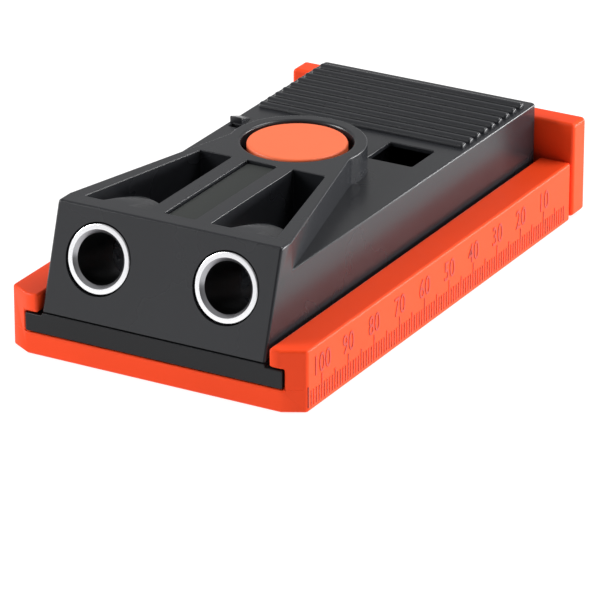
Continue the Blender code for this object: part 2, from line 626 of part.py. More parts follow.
def make_jig_shell():
    """The black moulded body with its tower, deck, windows, bores and button well."""
    rough_y = (FACE_FOOT_Y - OVERSHOOT, BODY_REAR_Y)
    shell = block("jig_shell", (-BODY_HALF, BODY_HALF), rough_y, (SHELL_BOTTOM, DECK_HEIGHT))
    make_tower(shell)
    low = SHELL_BOTTOM - OVERSHOOT
    high = TOWER_HEIGHT + OVERSHOOT
    front = FACE_FOOT_Y - 2 * OVERSHOOT
    front_waste = [(front, low), (face_y(low), low), (face_y(high), high), (front, high)]
    reach = BODY_HALF + OVERSHOOT
    cut(shell, prism("face_cut", front_waste, -reach, reach, axis="X"))
    make_coring(shell)
    for side, word in ((-1, "left"), (1, "right")):
        cut(shell, make_chip_window(side, word))
    for side, word in ((-1, "left"), (1, "right")):
        cut(shell, sleeve_bore(f"shell_bore_{word}", side))
    half = RECESS_WIDTH / 2
    recess_y = (forward(WINDOW_REAR) - WINDOW_LENGTH, forward(WINDOW_REAR))
    recess_z = (TOWER_HEIGHT - RECESS_DEPTH, high)
    cut(shell, block("top_recess", (-half, half), recess_y, recess_z))
    window_y = (forward(DECK_WINDOW_FROM_REAR + DECK_WINDOW_LENGTH), forward(DECK_WINDOW_FROM_REAR))
    half = DECK_WINDOW_WIDTH / 2
    window_x = (DECK_WINDOW_OFFSET - half, DECK_WINDOW_OFFSET + half)
    window_z = (DECK_HEIGHT - ROOF_THICK - OVERSHOOT, DECK_HEIGHT + OVERSHOOT)
    cut(shell, block("deck_window", window_x, window_y, window_z))
    well = [
        (0, SHELL_BOTTOM - OVERSHOOT), (CLIP_RADIUS + CLIP_POCKET_GAP, SHELL_BOTTOM - OVERSHOOT),
        (CLIP_RADIUS + CLIP_POCKET_GAP, GUIDE_SEAT), (GUIDE_RADIUS + FIT_GAP, GUIDE_SEAT),
        (GUIDE_RADIUS + FIT_GAP, WELL_FLOOR), (WELL_RADIUS, WELL_FLOOR), (WELL_RADIUS, high), (0, high),
    ]
    cut(shell, place(turned("button_well", well), 0, BUTTON_Y))
    make_ribs(shell)
    make_lug(shell)
    for x, y, word in plate_screw_places():
        radius = PLATE_SCREW[0] + FIT_GAP
        top = PLATE_TOP + PLATE_SCREW_GRIP + FIT_GAP
        hole = rod(f"shell_hole_{word}", radius, SHELL_BOTTOM - OVERSHOOT, top, SMALL_STEPS)
        cut(shell, place(hole, x, y))
    return finish_piece(shell, BLACK, 0.45)


def make_top_inlay():
    """The plain inlay strip at the bottom of the recess in the tower's top."""
    half = RECESS_WIDTH / 2 - FIT_GAP
    rear_y = forward(WINDOW_REAR) - FIT_GAP
    front_y = rear_y - WINDOW_LENGTH + 2 * FIT_GAP
    low = TOWER_HEIGHT - RECESS_DEPTH + FIT_GAP
    inlay = block("top_inlay", (-half, half), (front_y, rear_y), (low, low + INLAY_THICK))
    return finish_piece(inlay, INLAY_GREY, 0.5)


def make_drill_sleeve(side, word):
    """A hardened steel sleeve with a chamfered mouth, lying along its drill axis."""
    outer = SLEEVE_OUTER / 2
    bore = SLEEVE_BORE / 2
    chamfer = SLEEVE_MOUTH_CHAMFER
    profile = [
        (bore, SLEEVE_LEAD_IN), (bore + chamfer, 0), (outer - chamfer / 2, 0), (outer, chamfer / 2),
        (outer, SLEEVE_LENGTH), (bore, SLEEVE_LENGTH),
    ]
    sleeve = turned(f"drill_sleeve_{word}", profile, ring=True)
    sink = Vector((0, math.cos(DRILL_ANGLE), -math.sin(DRILL_ANGLE))) * SLEEVE_SINK
    y = face_y(HOLE_MOUTH_HEIGHT) + sink.y
    place(sleeve, side * HOLE_HALF, y, HOLE_MOUTH_HEIGHT + sink.z, -math.pi / 2 - DRILL_ANGLE)
    return finish_piece(sleeve, STEEL, 0.25, 1.0)


def make_stem_guide():
    """The flanged brass bush that the button's stem runs in."""
    flange = GUIDE_RADIUS + GUIDE_FLANGE_REACH
    profile = [
        (STEM_HOLE, GUIDE_BOTTOM), (GUIDE_RADIUS, GUIDE_BOTTOM), (GUIDE_RADIUS, GUIDE_TOP - GUIDE_FLANGE),
        (flange, GUIDE_TOP - GUIDE_FLANGE), (flange, GUIDE_TOP), (STEM_HOLE, GUIDE_TOP),
    ]
    guide = place(turned("stem_guide", profile, ring=True), 0, BUTTON_Y)
    return finish_piece(guide, BRASS, 0.35, 1.0)


def make_button_spring():
    """The coil spring between the guide's flange and the button."""
    wire = SPRING_WIRE / 2
    low = GUIDE_TOP + FIT_GAP + wire
    high = BUTTON_CEILING - FIT_GAP - wire
    steps = SPRING_TURNS * SPRING_STEPS
    pitch_angle = math.atan2(high - low, 2 * math.pi * SPRING_MEAN_RADIUS * SPRING_TURNS)
    bm = bmesh.new()
    loops = []
    for i in range(steps + 1):
        angle = 2 * math.pi * i / SPRING_STEPS
        outward = Vector((math.cos(angle), math.sin(angle), 0))
        along = Vector((-math.sin(angle), math.cos(angle), math.tan(pitch_angle))).normalized()
        across = along.cross(outward)
        centre = outward * SPRING_MEAN_RADIUS + Vector((0, 0, low + (high - low) * i / steps))
        loop = []
        for j in range(SPRING_SIDES):
            turn = 2 * math.pi * j / SPRING_SIDES
            loop.append(bm.verts.new(centre + wire * (math.cos(turn) * outward + math.sin(turn) * across)))
        loops.append(loop)
    for first, second in zip(loops, loops[1:]):
        for j in range(SPRING_SIDES):
            k = (j + 1) % SPRING_SIDES
            bm.faces.new((first[j], first[k], second[k], second[j]))
    bm.faces.new(loops[0])
    bm.faces.new(loops[-1])
    spring = place(add_object("button_spring", bm, smooth=True), 0, BUTTON_Y)
    return finish_piece(spring, STEEL, 0.3, 1.0)


# ---- release button and lock -----------------------------------------------------------------

def make_release_button():
    """The round orange cap, hollow below, with a socket for the stem."""
    skirt = BUTTON_TOP - BUTTON_SKIRT
    boss = SPRING_MEAN_RADIUS - SPRING_WIRE / 2 - FIT_GAP
    boss_low = GUIDE_TOP + BUTTON_TRAVEL + 4 * FIT_GAP
    profile = [
        (0, BUTTON_TOP), (BUTTON_RADIUS - BUTTON_EDGE, BUTTON_TOP),
        (BUTTON_RADIUS, BUTTON_TOP - BUTTON_EDGE), (BUTTON_RADIUS, skirt),
        (BUTTON_RADIUS - BUTTON_WALL, skirt), (BUTTON_RADIUS - BUTTON_WALL, BUTTON_CEILING),
        (boss, BUTTON_CEILING), (boss, boss_low), (STEM_HOLE, boss_low), (STEM_HOLE, BUTTON_CEILING),
        (0, BUTTON_CEILING),
    ]
    button = place(turned("release_button", profile), 0, BUTTON_Y)
    return finish_piece(button, BUTTON_ORANGE, 0.35)


def make_button_stem():
    """The steel stem from the button down to the lock shoe, with a groove for its clip."""
    hole = SHOE_SCREW[0] + FIT_GAP
    hole_top = STEM_BOTTOM + SHOE_SCREW_GRIP
    groove = STEM_RADIUS - CLIP_GROOVE
    groove_low = CLIP_TOP - CLIP_THICK - FIT_GAP
    profile = [
        (0, hole_top), (hole, hole_top), (hole, STEM_BOTTOM), (STEM_RADIUS, STEM_BOTTOM),
        (STEM_RADIUS, groove_low), (groove, groove_low), (groove, CLIP_TOP + FIT_GAP),
        (STEM_RADIUS, CLIP_TOP + FIT_GAP), (STEM_RADIUS, STEM_TOP), (0, STEM_TOP),
    ]
    stem = place(turned("button_stem", profile, SMALL_STEPS), 0, BUTTON_Y)
    return finish_piece(stem, STEEL, 0.25, 1.0)


def make_stem_clip():
    """The open spring clip in the stem's groove."""
    inner = STEM_RADIUS - CLIP_GROOVE + FIT_GAP
    start = CLIP_OPENING / 2
    sweep = 2 * math.pi - CLIP_OPENING
    angles = [start + sweep * i / CLIP_STEPS for i in range(CLIP_STEPS + 1)]
    outline = [(CLIP_RADIUS * math.cos(a), CLIP_RADIUS * math.sin(a)) for a in angles]
    outline += [(inner * math.cos(a), inner * math.sin(a)) for a in reversed(angles)]
    clip = prism("stem_clip", outline, CLIP_TOP - CLIP_THICK, CLIP_TOP)
    return finish_piece(place(clip, 0, BUTTON_Y), STEEL, 0.3, 1.0)


def make_lock_shoe():
    """The shoe that the spring holds up under the lock rail, and the screw that carries it."""
    half = RAIL_BAR_WIDTH / 2 - RAIL_BAR_WALL - SHOE_SIDE_GAP
    reach = SHOE_LENGTH / 2
    shoe = block("lock_shoe", (-half, half), (BUTTON_Y - reach, BUTTON_Y + reach), (SHOE_BOTTOM, SHOE_TOP))
    seat = SHOE_BOTTOM + SHOE_COUNTERBORE - FIT_GAP
    hole = screw_hole("shoe_hole", SHOE_SCREW, SHOE_SCREW[2], SHOE_THICK)
    cut(shoe, place(hole, 0, BUTTON_Y, seat))
    length = STEM_BOTTOM - seat + SHOE_SCREW_GRIP - FIT_GAP
    place(screw("shoe_screw", SHOE_SCREW, length), 0, BUTTON_Y, seat)
    return finish_piece(shoe, STEEL, 0.4, 1.0)


def main():
    clear_scene()
    make_base_tray()
    make_rear_fence()
    make_lock_rail()
    make_slide_plate()
    make_jig_shell()
    make_top_inlay()
    for side, word in ((-1, "left"), (1, "right")):
        make_drill_sleeve(side, word)
    make_stem_guide()
    make_button_spring()
    make_release_button()
    make_button_stem()
    make_stem_clip()
    make_lock_shoe()


main()
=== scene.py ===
import json
import math
import bmesh
import bpy
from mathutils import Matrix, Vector

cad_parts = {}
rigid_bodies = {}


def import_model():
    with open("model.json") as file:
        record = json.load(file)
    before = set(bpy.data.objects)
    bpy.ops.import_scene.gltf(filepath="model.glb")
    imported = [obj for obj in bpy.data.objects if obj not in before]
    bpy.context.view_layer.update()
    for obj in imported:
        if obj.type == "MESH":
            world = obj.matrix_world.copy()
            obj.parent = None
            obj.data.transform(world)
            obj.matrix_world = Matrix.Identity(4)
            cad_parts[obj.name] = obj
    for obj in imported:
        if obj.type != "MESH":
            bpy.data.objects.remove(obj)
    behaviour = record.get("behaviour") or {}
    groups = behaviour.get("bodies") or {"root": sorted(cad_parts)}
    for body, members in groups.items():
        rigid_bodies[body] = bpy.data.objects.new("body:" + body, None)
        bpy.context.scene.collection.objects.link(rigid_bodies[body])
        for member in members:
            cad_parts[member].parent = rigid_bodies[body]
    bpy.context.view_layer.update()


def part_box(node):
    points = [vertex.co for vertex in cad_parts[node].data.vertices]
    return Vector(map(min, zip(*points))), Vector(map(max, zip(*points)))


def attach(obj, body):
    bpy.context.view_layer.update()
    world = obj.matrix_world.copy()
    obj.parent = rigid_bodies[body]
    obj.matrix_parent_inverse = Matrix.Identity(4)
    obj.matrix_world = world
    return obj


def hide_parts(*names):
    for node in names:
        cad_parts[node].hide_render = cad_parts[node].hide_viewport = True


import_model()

# The looks of a sliding pocket hole jig. Axes are the CAD model's: +X to the right, +Y to the
# rear, +Z up, in metres. The camera stands in front of the jig, to the right of it.

MM = 0.001
GAP = 0.3 * MM
PAST = 2.0 * MM                 # how far a cutter runs past the face it opens
ROUND = 96                      # steps round a large circle
SMALL_ROUND = 40
SIDES = ((-1, "left"), (1, "right"))
ENDS = ("front", "rear")

# ---- sizes taken from the frame --------------------------------------------------------------

TRAY_LOW, TRAY_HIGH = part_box("base_tray")
FENCE_LOW, FENCE_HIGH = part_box("rear_fence")
SHELL_LOW, SHELL_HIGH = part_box("jig_shell")
PLATE_LOW, PLATE_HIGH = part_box("slide_plate")
RAIL_LOW, RAIL_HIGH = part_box("lock_rail")
INLAY_LOW, INLAY_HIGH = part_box("top_inlay")
BUTTON_LOW, BUTTON_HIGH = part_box("release_button")
SPRING_LOW, SPRING_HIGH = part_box("button_spring")
GUIDE_LOW, GUIDE_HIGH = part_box("stem_guide")
STEM_LOW, STEM_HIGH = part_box("button_stem")
CLIP_LOW, CLIP_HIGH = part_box("stem_clip")
SHOE_LOW, SHOE_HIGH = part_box("lock_shoe")

# ---- sizes that the boxes don't hold, as in the CAD source -----------------------------------

FLOOR_TOP = 4.5 * MM
SLOT_TOP = 8.7 * MM
RAIL_WALL = 3.9 * MM
LIP_REACH = 3.0 * MM
NOSE_CUT_ACROSS = 4.4 * MM
NOSE_CUT_ALONG = 2.4 * MM
EXIT_SLOT_WIDTH = 11.0 * MM
EXIT_SLOT_REAR = 5.9 * MM
EXIT_SLOT_FRONT = 7.2 * MM
GROOVE_FLOOR = 2.4 * MM
SLIDE_TRAVEL = 38.0 * MM

SCREW_HOLE = 1.4 * MM           # radius round a shank
SCREW_SINK = 2.4 * MM           # radius round a sunk head
SCREW_SEAT = 1.5 * MM           # a sunk head's shoulder, above the face it is sunk in
SCREW_REACH = 16.0 * MM
SINK_DEPTH = {"rail": 1.2 * MM, "plate": 1.4 * MM, "shoe": 1.0 * MM}
TRAY_HOLE_DEPTH = 10.0 * MM
FENCE_SINK = 1.9 * MM           # depth of the fence's counterbores
FENCE_SINK_RIM = 0.4 * MM
FENCE_HOLE_DEPTH = 9.0 * MM
SHOE_SCREW_HOLE = 1.1 * MM
SHOE_SCREW_SINK = 2.0 * MM
SHOE_SCREW_SEAT = 1.1 * MM
HEAD_HEIGHT = {"fence": 1.6 * MM, "rail": 0.9 * MM, "plate": 1.2 * MM, "shoe": 0.8 * MM}
SHANK = {"fence": 1.1 * MM, "rail": 1.1 * MM, "plate": 1.1 * MM, "shoe": 0.8 * MM}
THREAD_PITCH = 0.5 * MM

DECK_TOP = 24.0 * MM
TOWER_TOP = 29.8 * MM
TOWER_JOIN = 99.0 * MM
TOWER_EDGE = 0.4 * MM
DECK_EDGE = 0.45 * MM
TOWER_END_RADIUS = 13.6 * MM
FACE_LEAN = math.radians(17.5)
FACE_SETBACK = 0.2 * MM
FACE_FOOT_Y = TRAY_LOW.y + FACE_SETBACK

DRILL_ANGLE = math.radians(15.0)
HOLE_HALF = 13.8 * MM
MOUTH_HEIGHT = 20.7 * MM
SLEEVE_RADIUS = 6.75 * MM
SLEEVE_BORE = 5.0 * MM
SLEEVE_LENGTH = 14.0 * MM
SLEEVE_SINK = 0.15 * MM
BOSS_RADIUS = 10.85 * MM
BOSS_END = 15.55 * MM
BOSS_EDGE = 1.6 * MM
DRILL_PATH_RADIUS = 5.3 * MM
DRILL_LEAD = 4.0 * MM
DRILL_REACH = 90.0 * MM

WINDOW_REAR = 67.7 * MM
WINDOW_LENGTH = 30.8 * MM
WINDOW_INNER = 6.7 * MM
WINDOW_SIDE_WALL = 3.2 * MM
WINDOW_FLOOR = 14.0 * MM
RECESS_HALF = 3.4 * MM
RECESS_DEPTH = 1.8 * MM

DECK_WINDOW_WIDTH = 10.0 * MM
DECK_WINDOW_LENGTH = 9.6 * MM
DECK_WINDOW_FROM_REAR = 33.0 * MM
DECK_WINDOW_OFFSET = 13.9 * MM
SIDE_CORE_MARGIN = 1.3 * MM
SIDE_CORE_ROOF = 0.9 * MM
SIDE_CORE_REAR = 30.0 * MM      # from the body's rear end, as the next two
REAR_CORE_FRONT = 31.0 * MM
REAR_CORE_REAR = 4.5 * MM
REAR_CORE_HALF = 16.5 * MM
FRONT_CORE_HALF = 5.0 * MM
FRONT_CORE_INSET = 0.1 * MM
CORE_ROOF = 2.2 * MM
RIB_COUNT = 9
RIB_PITCH = 3.07 * MM
RIB_FIRST = 3.95 * MM
RIB_HALF = 23.1 * MM
RIB_WIDTH = 2.1 * MM
RIB_HEIGHT = 1.0 * MM
RIB_ROOT = 0.6 * MM             # how far a rib reaches into the deck
LUG_FROM_REAR = 35.1 * MM
LUG_LENGTH = 4.1 * MM
LUG_HEIGHT = 1.3 * MM
LUG_WIDTH = 2.7 * MM
LUG_INSET = 0.3 * MM
LUG_NOTCH = 1.8 * MM
LUG_NOTCH_DEPTH = 1.7 * MM
LUG_ROOT = 0.8 * MM             # how far it reaches into the deck

WELL_RADIUS = 10.95 * MM
WELL_RIM = 0.6 * MM
WELL_FLOOR = 20.0 * MM
GUIDE_SEAT = 12.6 * MM
GUIDE_RADIUS = 4.0 * MM
CLIP_POCKET = 4.9 * MM
STEM_RADIUS = 1.8 * MM
STEM_HOLE = 2.1 * MM
BUTTON_ROOF = 2.1 * MM
BUTTON_WALL = 1.6 * MM
BUTTON_EDGE = 0.55 * MM
BUTTON_SOCKET_RADIUS = 3.2 * MM
BUTTON_SOCKET_LOW = 24.5 * MM
SPRING_TURNS = 4
SPRING_WIRE = 0.35 * MM
SPRING_MEAN = 3.85 * MM

SCALE_PITCH = 1.0 * MM
SCALE_LAST = 105
TICK_WIDTH = 0.34 * MM
TICK_RISE = 0.10 * MM           # how far the marks stand out of the rail
LONG_TICK = 6.2 * MM
MIDDLE_TICK = 5.2 * MM
SHORT_TICK = 4.2 * MM
TICK_FOOT = 0.9 * MM
DIGIT_HEIGHT = 3.9 * MM
DIGIT_BELOW_TOP = 1.5 * MM
DIGIT_NARROWING = 0.78
CAP_HEIGHT = 0.70               # a capital's height, of the font's size
SCALE_ZERO_Y = 50.1 * MM
SEAM_HALF = 0.08 * MM
SEAM_RISE = 0.03 * MM
SEAM_SHIFT = 0.27 * MM          # its ends, along the nose cut
SEAM_END = 0.5 * MM
SEAM_DEPTH = 0.97               # its hidden side, as a share of the way from the middle

# ---- rounded corners and edges ---------------------------------------------------------------

TRAY_EDGE = 0.55 * MM
EXIT_SLOT_CORNER = 0.8 * MM
EXIT_SLOT_RIM = 0.25 * MM
GROOVE_RIM = 0.2 * MM
FENCE_CORNER = 0.9 * MM
FENCE_EDGE = 0.8 * MM
PLATE_CORNER = 0.25 * MM
PLATE_EDGE = 0.2 * MM
PLATE_OPENING_CORNER = 1.0 * MM
SHELL_CORNER = 0.9 * MM
SHELL_FOOT_EDGE = 0.12 * MM
PROFILE_CORNER = 0.7 * MM       # of the body seen from the side
PROFILE_EDGE = 0.6 * MM
WINDOW_CORNER = 0.3 * MM
WINDOW_RIM = 0.2 * MM
RECESS_CORNER = 0.4 * MM
RECESS_RIM = 0.15 * MM
DECK_WINDOW_CORNER = 0.35 * MM
DECK_WINDOW_RIM = 0.25 * MM
CORE_CORNER = 1.2 * MM
CORE_EDGE = 0.8 * MM
RIB_EDGE = 0.5 * MM
LUG_EDGE = 0.2 * MM
MOUTH_CHAMFER = 0.65 * MM
SLEEVE_EDGE = 0.25 * MM

BODY_REAR_Y = SHELL_HIGH.y
BUTTON_Y = (BUTTON_LOW.y + BUTTON_HIGH.y) / 2


# ---- outlines --------------------------------------------------------------------------------

def arc(cx, cy, radius, start, end, steps):
    """Points along an arc, both ends included."""
    turns = [start + (end - start) * i / steps for i in range(steps + 1)]
    return [(cx + radius * math.cos(t), cy + radius * math.sin(t)) for t in turns]


def rounded(outline, radius, steps=4):
    """The outline with each corner turned into an arc."""
    made = []
    count = len(outline)
    for i in range(count):
        before = Vector(outline[i - 1])
        corner = Vector(outline[i])
        after = Vector(outline[(i + 1) % count])
        back = (before - corner).normalized()
        on = (after - corner).normalized()
        half = back.angle(on) / 2
        reach = min(radius / math.tan(half), (before - corner).length * 0.45, (after - corner).length * 0.45)
        size = reach * math.tan(half)
        centre = corner + (back + on).normalized() * (size / math.sin(half))
        first = (corner + back * reach) - centre
        last = (corner + on * reach) - centre
        turn = first.angle_signed(last)
        for k in range(steps + 1):
            angle = -turn * k / steps
            made.append(tuple(centre + Vector((
                first.x * math.cos(angle) - first.y * math.sin(angle),
                first.x * math.sin(angle) + first.y * math.cos(angle)))))
    return made


def area(outline):
    """The signed area of an outline: positive when it runs anticlockwise."""
    ends = zip(outline, outline[1:] + outline[:1])
    return sum(a[0] * b[1] - b[0] * a[1] for a, b in ends) / 2


def grown(outline, distance):
    """The outline moved outwards by a distance, with the same number of points."""
    if area(outline) < 0:
        distance = -distance
    made = []
    count = len(outline)
    for i in range(count):
        here = Vector(outline[i])
        back = (here - Vector(outline[i - 1])).normalized()
        on = (Vector(outline[(i + 1) % count]) - here).normalized()
        first = Vector((back.y, -back.x))
        second = Vector((on.y, -on.x))
        move = (first + second) / (1 + first.dot(second))
        made.append(tuple(here + move * distance))
    return made


def box_outline(a0, a1, b0, b1):
    """The four corners of a rectangle."""
    return [(a0, b0), (a1, b0), (a1, b1), (a0, b1)]


# ---- solids ----------------------------------------------------------------------------------

def new_object(name, bm):
    """A bmesh as an object with outward faces."""
    bmesh.ops.recalc_face_normals(bm, faces=bm.faces)
    mesh = bpy.data.meshes.new(name)
    bm.to_mesh(mesh)
    bm.free()
    made = bpy.data.objects.new(name, mesh)
    bpy.context.scene.collection.objects.link(made)
    return made


def lofted(name, rings, axis="Z"):
    """A closed solid through rings of (outline, height), along an axis."""
    bm = bmesh.new()
    loops = []
    for outline, height in rings:
        loop = []
        for a, b in outline:
            place = {"Z": (a, b, height), "Y": (a, height, b), "X": (height, a, b)}[axis]
            loop.append(bm.verts.new(place))
        loops.append(loop)
    count = len(loops[0])
    for lower, upper in zip(loops, loops[1:]):
        for i in range(count):
            j = (i + 1) % count
            bm.faces.new((lower[i], lower[j], upper[j], upper[i]))
    bm.faces.new(loops[0])
    bm.faces.new(loops[-1])
    return new_object(name, bm)


def cushion(name, outline, low, high, low_edge=0.0, high_edge=0.0, axis="Z", steps=4):
    """A prism whose end edges are rounded."""
    rings = []
    if low_edge:
        for k in range(steps):
            turn = math.pi / 2 * k / steps
            inset = low_edge * (1 - math.sin(turn))
            rings.append((grown(outline, -inset), low + low_edge * (1 - math.cos(turn))))
        rings.append((outline, low + low_edge))
    else:
        rings.append((outline, low))
    if high_edge:
        rings.append((outline, high - high_edge))
        for k in range(steps - 1, -1, -1):
            turn = math.pi / 2 * k / steps
            inset = high_edge * (1 - math.sin(turn))
            rings.append((grown(outline, -inset), high - high_edge * (1 - math.cos(turn))))
    else:
        rings.append((outline, high))
    return lofted(name, rings, axis)


def flared(name, outline, low, top, rim, steps=4):
    """A cutter that leaves a rounded rim where it meets a face at the height top."""
    rings = [(outline, low)]
    for k in range(steps + 1):
        turn = math.pi / 2 * k / steps
        rings.append((grown(outline, rim * (1 - math.cos(turn))), top - rim * (1 - math.sin(turn))))
    rings.append((grown(outline, rim), top + PAST))
    return lofted(name, rings)


def turned(name, profile, steps=ROUND, ring=False):
    """A (radius, height) profile spun about Z; a ring's profile closes on itself."""
    bm = bmesh.new()
    loops = []
    for radius, height in profile:
        if radius == 0:
            loops.append([bm.verts.new((0, 0, height))] * steps)
            continue
        turns = [2 * math.pi * i / steps for i in range(steps)]
        loops.append([bm.verts.new((radius * math.cos(t), radius * math.sin(t), height)) for t in turns])
    pairs = list(zip(loops, loops[1:]))
    if ring:
        pairs.append((loops[-1], loops[0]))
    for lower, upper in pairs:
        for i in range(steps):
            j = (i + 1) % steps
            bm.faces.new(list(dict.fromkeys((lower[i], lower[j], upper[j], upper[i]))))
    return new_object(name, bm)


def pin(name, radius, low, high, steps=SMALL_ROUND):
    """A plain round cutter along Z."""
    return turned(name, [(0, low), (radius, low), (radius, high), (0, high)], steps)


def edge_arc(radius, height, size, start, end, steps=4):
    """The (radius, height) points of a rounded edge about a centre, angles in degrees."""
    return arc(radius, height, size, math.radians(start), math.radians(end), steps)


def moved(thing, x=0.0, y=0.0, z=0.0, tilt=0.0):
    """Put an object in place, turned about X."""
    thing.location = (x, y, z)
    thing.rotation_euler = (tilt, 0, 0)
    return thing


def boolean(target, tool, operation="DIFFERENCE"):
    """Combine the target with a tool, which the settling step removes."""
    modifier = target.modifiers.new(tool.name, "BOOLEAN")
    modifier.operation = operation
    modifier.object = tool
    modifier.solver = "EXACT"
    tool.hide_render = True
    tool["is_tool"] = True
    return target


def bevel(target, width, steps=3, angle=30):
    """Round every edge that is sharper than an angle."""
    modifier = target.modifiers.new("edges", "BEVEL")
    modifier.width = width
    modifier.segments = steps
    modifier.limit_method = "ANGLE"
    modifier.angle_limit = math.radians(angle)
    return target


def applied(target):
    """The target with its modifiers, place and turn worked into its mesh."""
    bpy.context.view_layer.update()
    graph = bpy.context.evaluated_depsgraph_get()
    mesh = bpy.data.meshes.new_from_object(target.evaluated_get(graph), depsgraph=graph)
    mesh.transform(target.matrix_world)
    target.modifiers.clear()
    target.data = mesh
    moved(target)
    return target


def remove_tools():
    """Delete the cutters once the pieces are settled."""
    for thing in [o for o in bpy.data.objects if o.get("is_tool")]:
        bpy.data.objects.remove(thing, do_unlink=True)


def settle(target, material, body, nodes=(), angle=38):
    """Apply and shade a finished piece, give it a material, attach it to its body and hide the CAD parts it
    stands for.
    """
    applied(target)
    bm = bmesh.new()
    bm.from_mesh(target.data)
    bmesh.ops.remove_doubles(bm, verts=bm.verts, dist=0.002 * MM)
    bmesh.ops.dissolve_degenerate(bm, edges=bm.edges, dist=0.001 * MM)
    bm.to_mesh(target.data)
    bm.free()
    target.data.shade_smooth()
    target.data.set_sharp_from_angle(angle=math.radians(angle))
    weights = target.modifiers.new("flat faces first", "WEIGHTED_NORMAL")
    weights.keep_sharp = True
    if not target.data.materials:
        target.data.materials.append(material)
    for i in range(len(target.data.materials)):
        if target.data.materials[i] is None:
            target.data.materials[i] = material
    remove_tools()
    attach(target, body)
    if nodes:
        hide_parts(*nodes)
    return target


# ---- materials -------------------------------------------------------------------------------

def principled(name):
    """A new material, its tree and its shader."""
    made = bpy.data.materials.new(name)
    made.use_nodes = True
    tree = made.node_tree
    return made, tree, tree.nodes["Principled BSDF"]


def grain(tree, scale, detail=4.0):
    """A noise node on the object's own coordinates."""
    where = tree.nodes.new("ShaderNodeTexCoord")
    noise = tree.nodes.new("ShaderNodeTexNoise")
    noise.inputs["Scale"].default_value = scale
    noise.inputs["Detail"].default_value = detail
    tree.links.new(where.outputs["Object"], noise.inputs["Vector"])
    return noise


def ramp(tree, source, low, high, dark, light):
    """Map a noise's values between two colours."""
    made = tree.nodes.new("ShaderNodeValToRGB")
    made.color_ramp.elements[0].position = low
    made.color_ramp.elements[1].position = high
    made.color_ramp.elements[0].color = (*dark, 1)
    made.color_ramp.elements[1].color = (*light, 1)
    tree.links.new(source, made.inputs["Fac"])
    return made


def spread(tree, source, low, high):
    """Map a noise's values between two numbers."""
    made = tree.nodes.new("ShaderNodeMapRange")
    made.inputs["From Min"].default_value = 0.1
    made.inputs["From Max"].default_value = 0.9
    made.inputs["To Min"].default_value = low
    made.inputs["To Max"].default_value = high
    tree.links.new(source, made.inputs["Value"])
    return made


def bump(tree, shader, source, depth, strength=0.3):
    """A height map into the shader's normal."""
    made = tree.nodes.new("ShaderNodeBump")
    made.inputs["Strength"].default_value = strength
    made.inputs["Distance"].default_value = depth
    tree.links.new(source, made.inputs["Height"])
    tree.links.new(made.outputs["Normal"], shader.inputs["Normal"])


def shade(colour, factor):
    """A colour made lighter or darker."""
    return tuple(min(1.0, c * factor) for c in colour)


def plastic(name, colour, rough, texture=9000.0, depth=0.012 * MM, vary=0.06, specular=0.5):
    """Moulded plastic: a fine spark-eroded grain and slow changes of tone."""
    made, tree, shader = principled(name)
    slow = grain(tree, 55.0, 3.0)
    fine = grain(tree, texture, 2.0)
    tones = ramp(tree, slow.outputs["Fac"], 0.1, 0.9, shade(colour, 1 - vary), shade(colour, 1 + vary))
    tree.links.new(tones.outputs["Color"], shader.inputs["Base Color"])
    level = spread(tree, slow.outputs["Fac"], rough - 0.03, rough + 0.03)
    tree.links.new(level.outputs["Result"], shader.inputs["Roughness"])
    shader.inputs["Specular IOR Level"].default_value = specular
    bump(tree, shader, fine.outputs["Fac"], depth)
    return made


def metal(name, colour, rough, stretch=(1.0, 1.0, 1.0), scale=2500.0, vary=0.10, depth=0.004 * MM):
    """Machined metal: a fine grain drawn out along the tool's path."""
    made, tree, shader = principled(name)
    where = tree.nodes.new("ShaderNodeTexCoord")
    mapping = tree.nodes.new("ShaderNodeMapping")
    mapping.inputs["Scale"].default_value = stretch
    noise = tree.nodes.new("ShaderNodeTexNoise")
    noise.inputs["Scale"].default_value = scale
    noise.inputs["Detail"].default_value = 3.0
    tree.links.new(where.outputs["Object"], mapping.inputs["Vector"])
    tree.links.new(mapping.outputs["Vector"], noise.inputs["Vector"])
    tones = ramp(tree, noise.outputs["Fac"], 0.3, 0.7, shade(colour, 1 - vary), shade(colour, 1 + vary))
    tree.links.new(tones.outputs["Color"], shader.inputs["Base Color"])
    level = spread(tree, noise.outputs["Fac"], rough - 0.05, rough + 0.05)
    tree.links.new(level.outputs["Result"], shader.inputs["Roughness"])
    shader.inputs["Metallic"].default_value = 1.0
    bump(tree, shader, noise.outputs["Fac"], depth, 0.25)
    return made


ORANGE = (0.90, 0.066, 0.014)
ORANGE_DARK = (0.42, 0.022, 0.005)
BUTTON_ORANGE = (0.90, 0.165, 0.062)
BLACK = (0.0180, 0.0190, 0.0220)
PLATE_BLACK = (0.0100, 0.0104, 0.0118)
INLAY_GREY = (0.021, 0.024, 0.022)

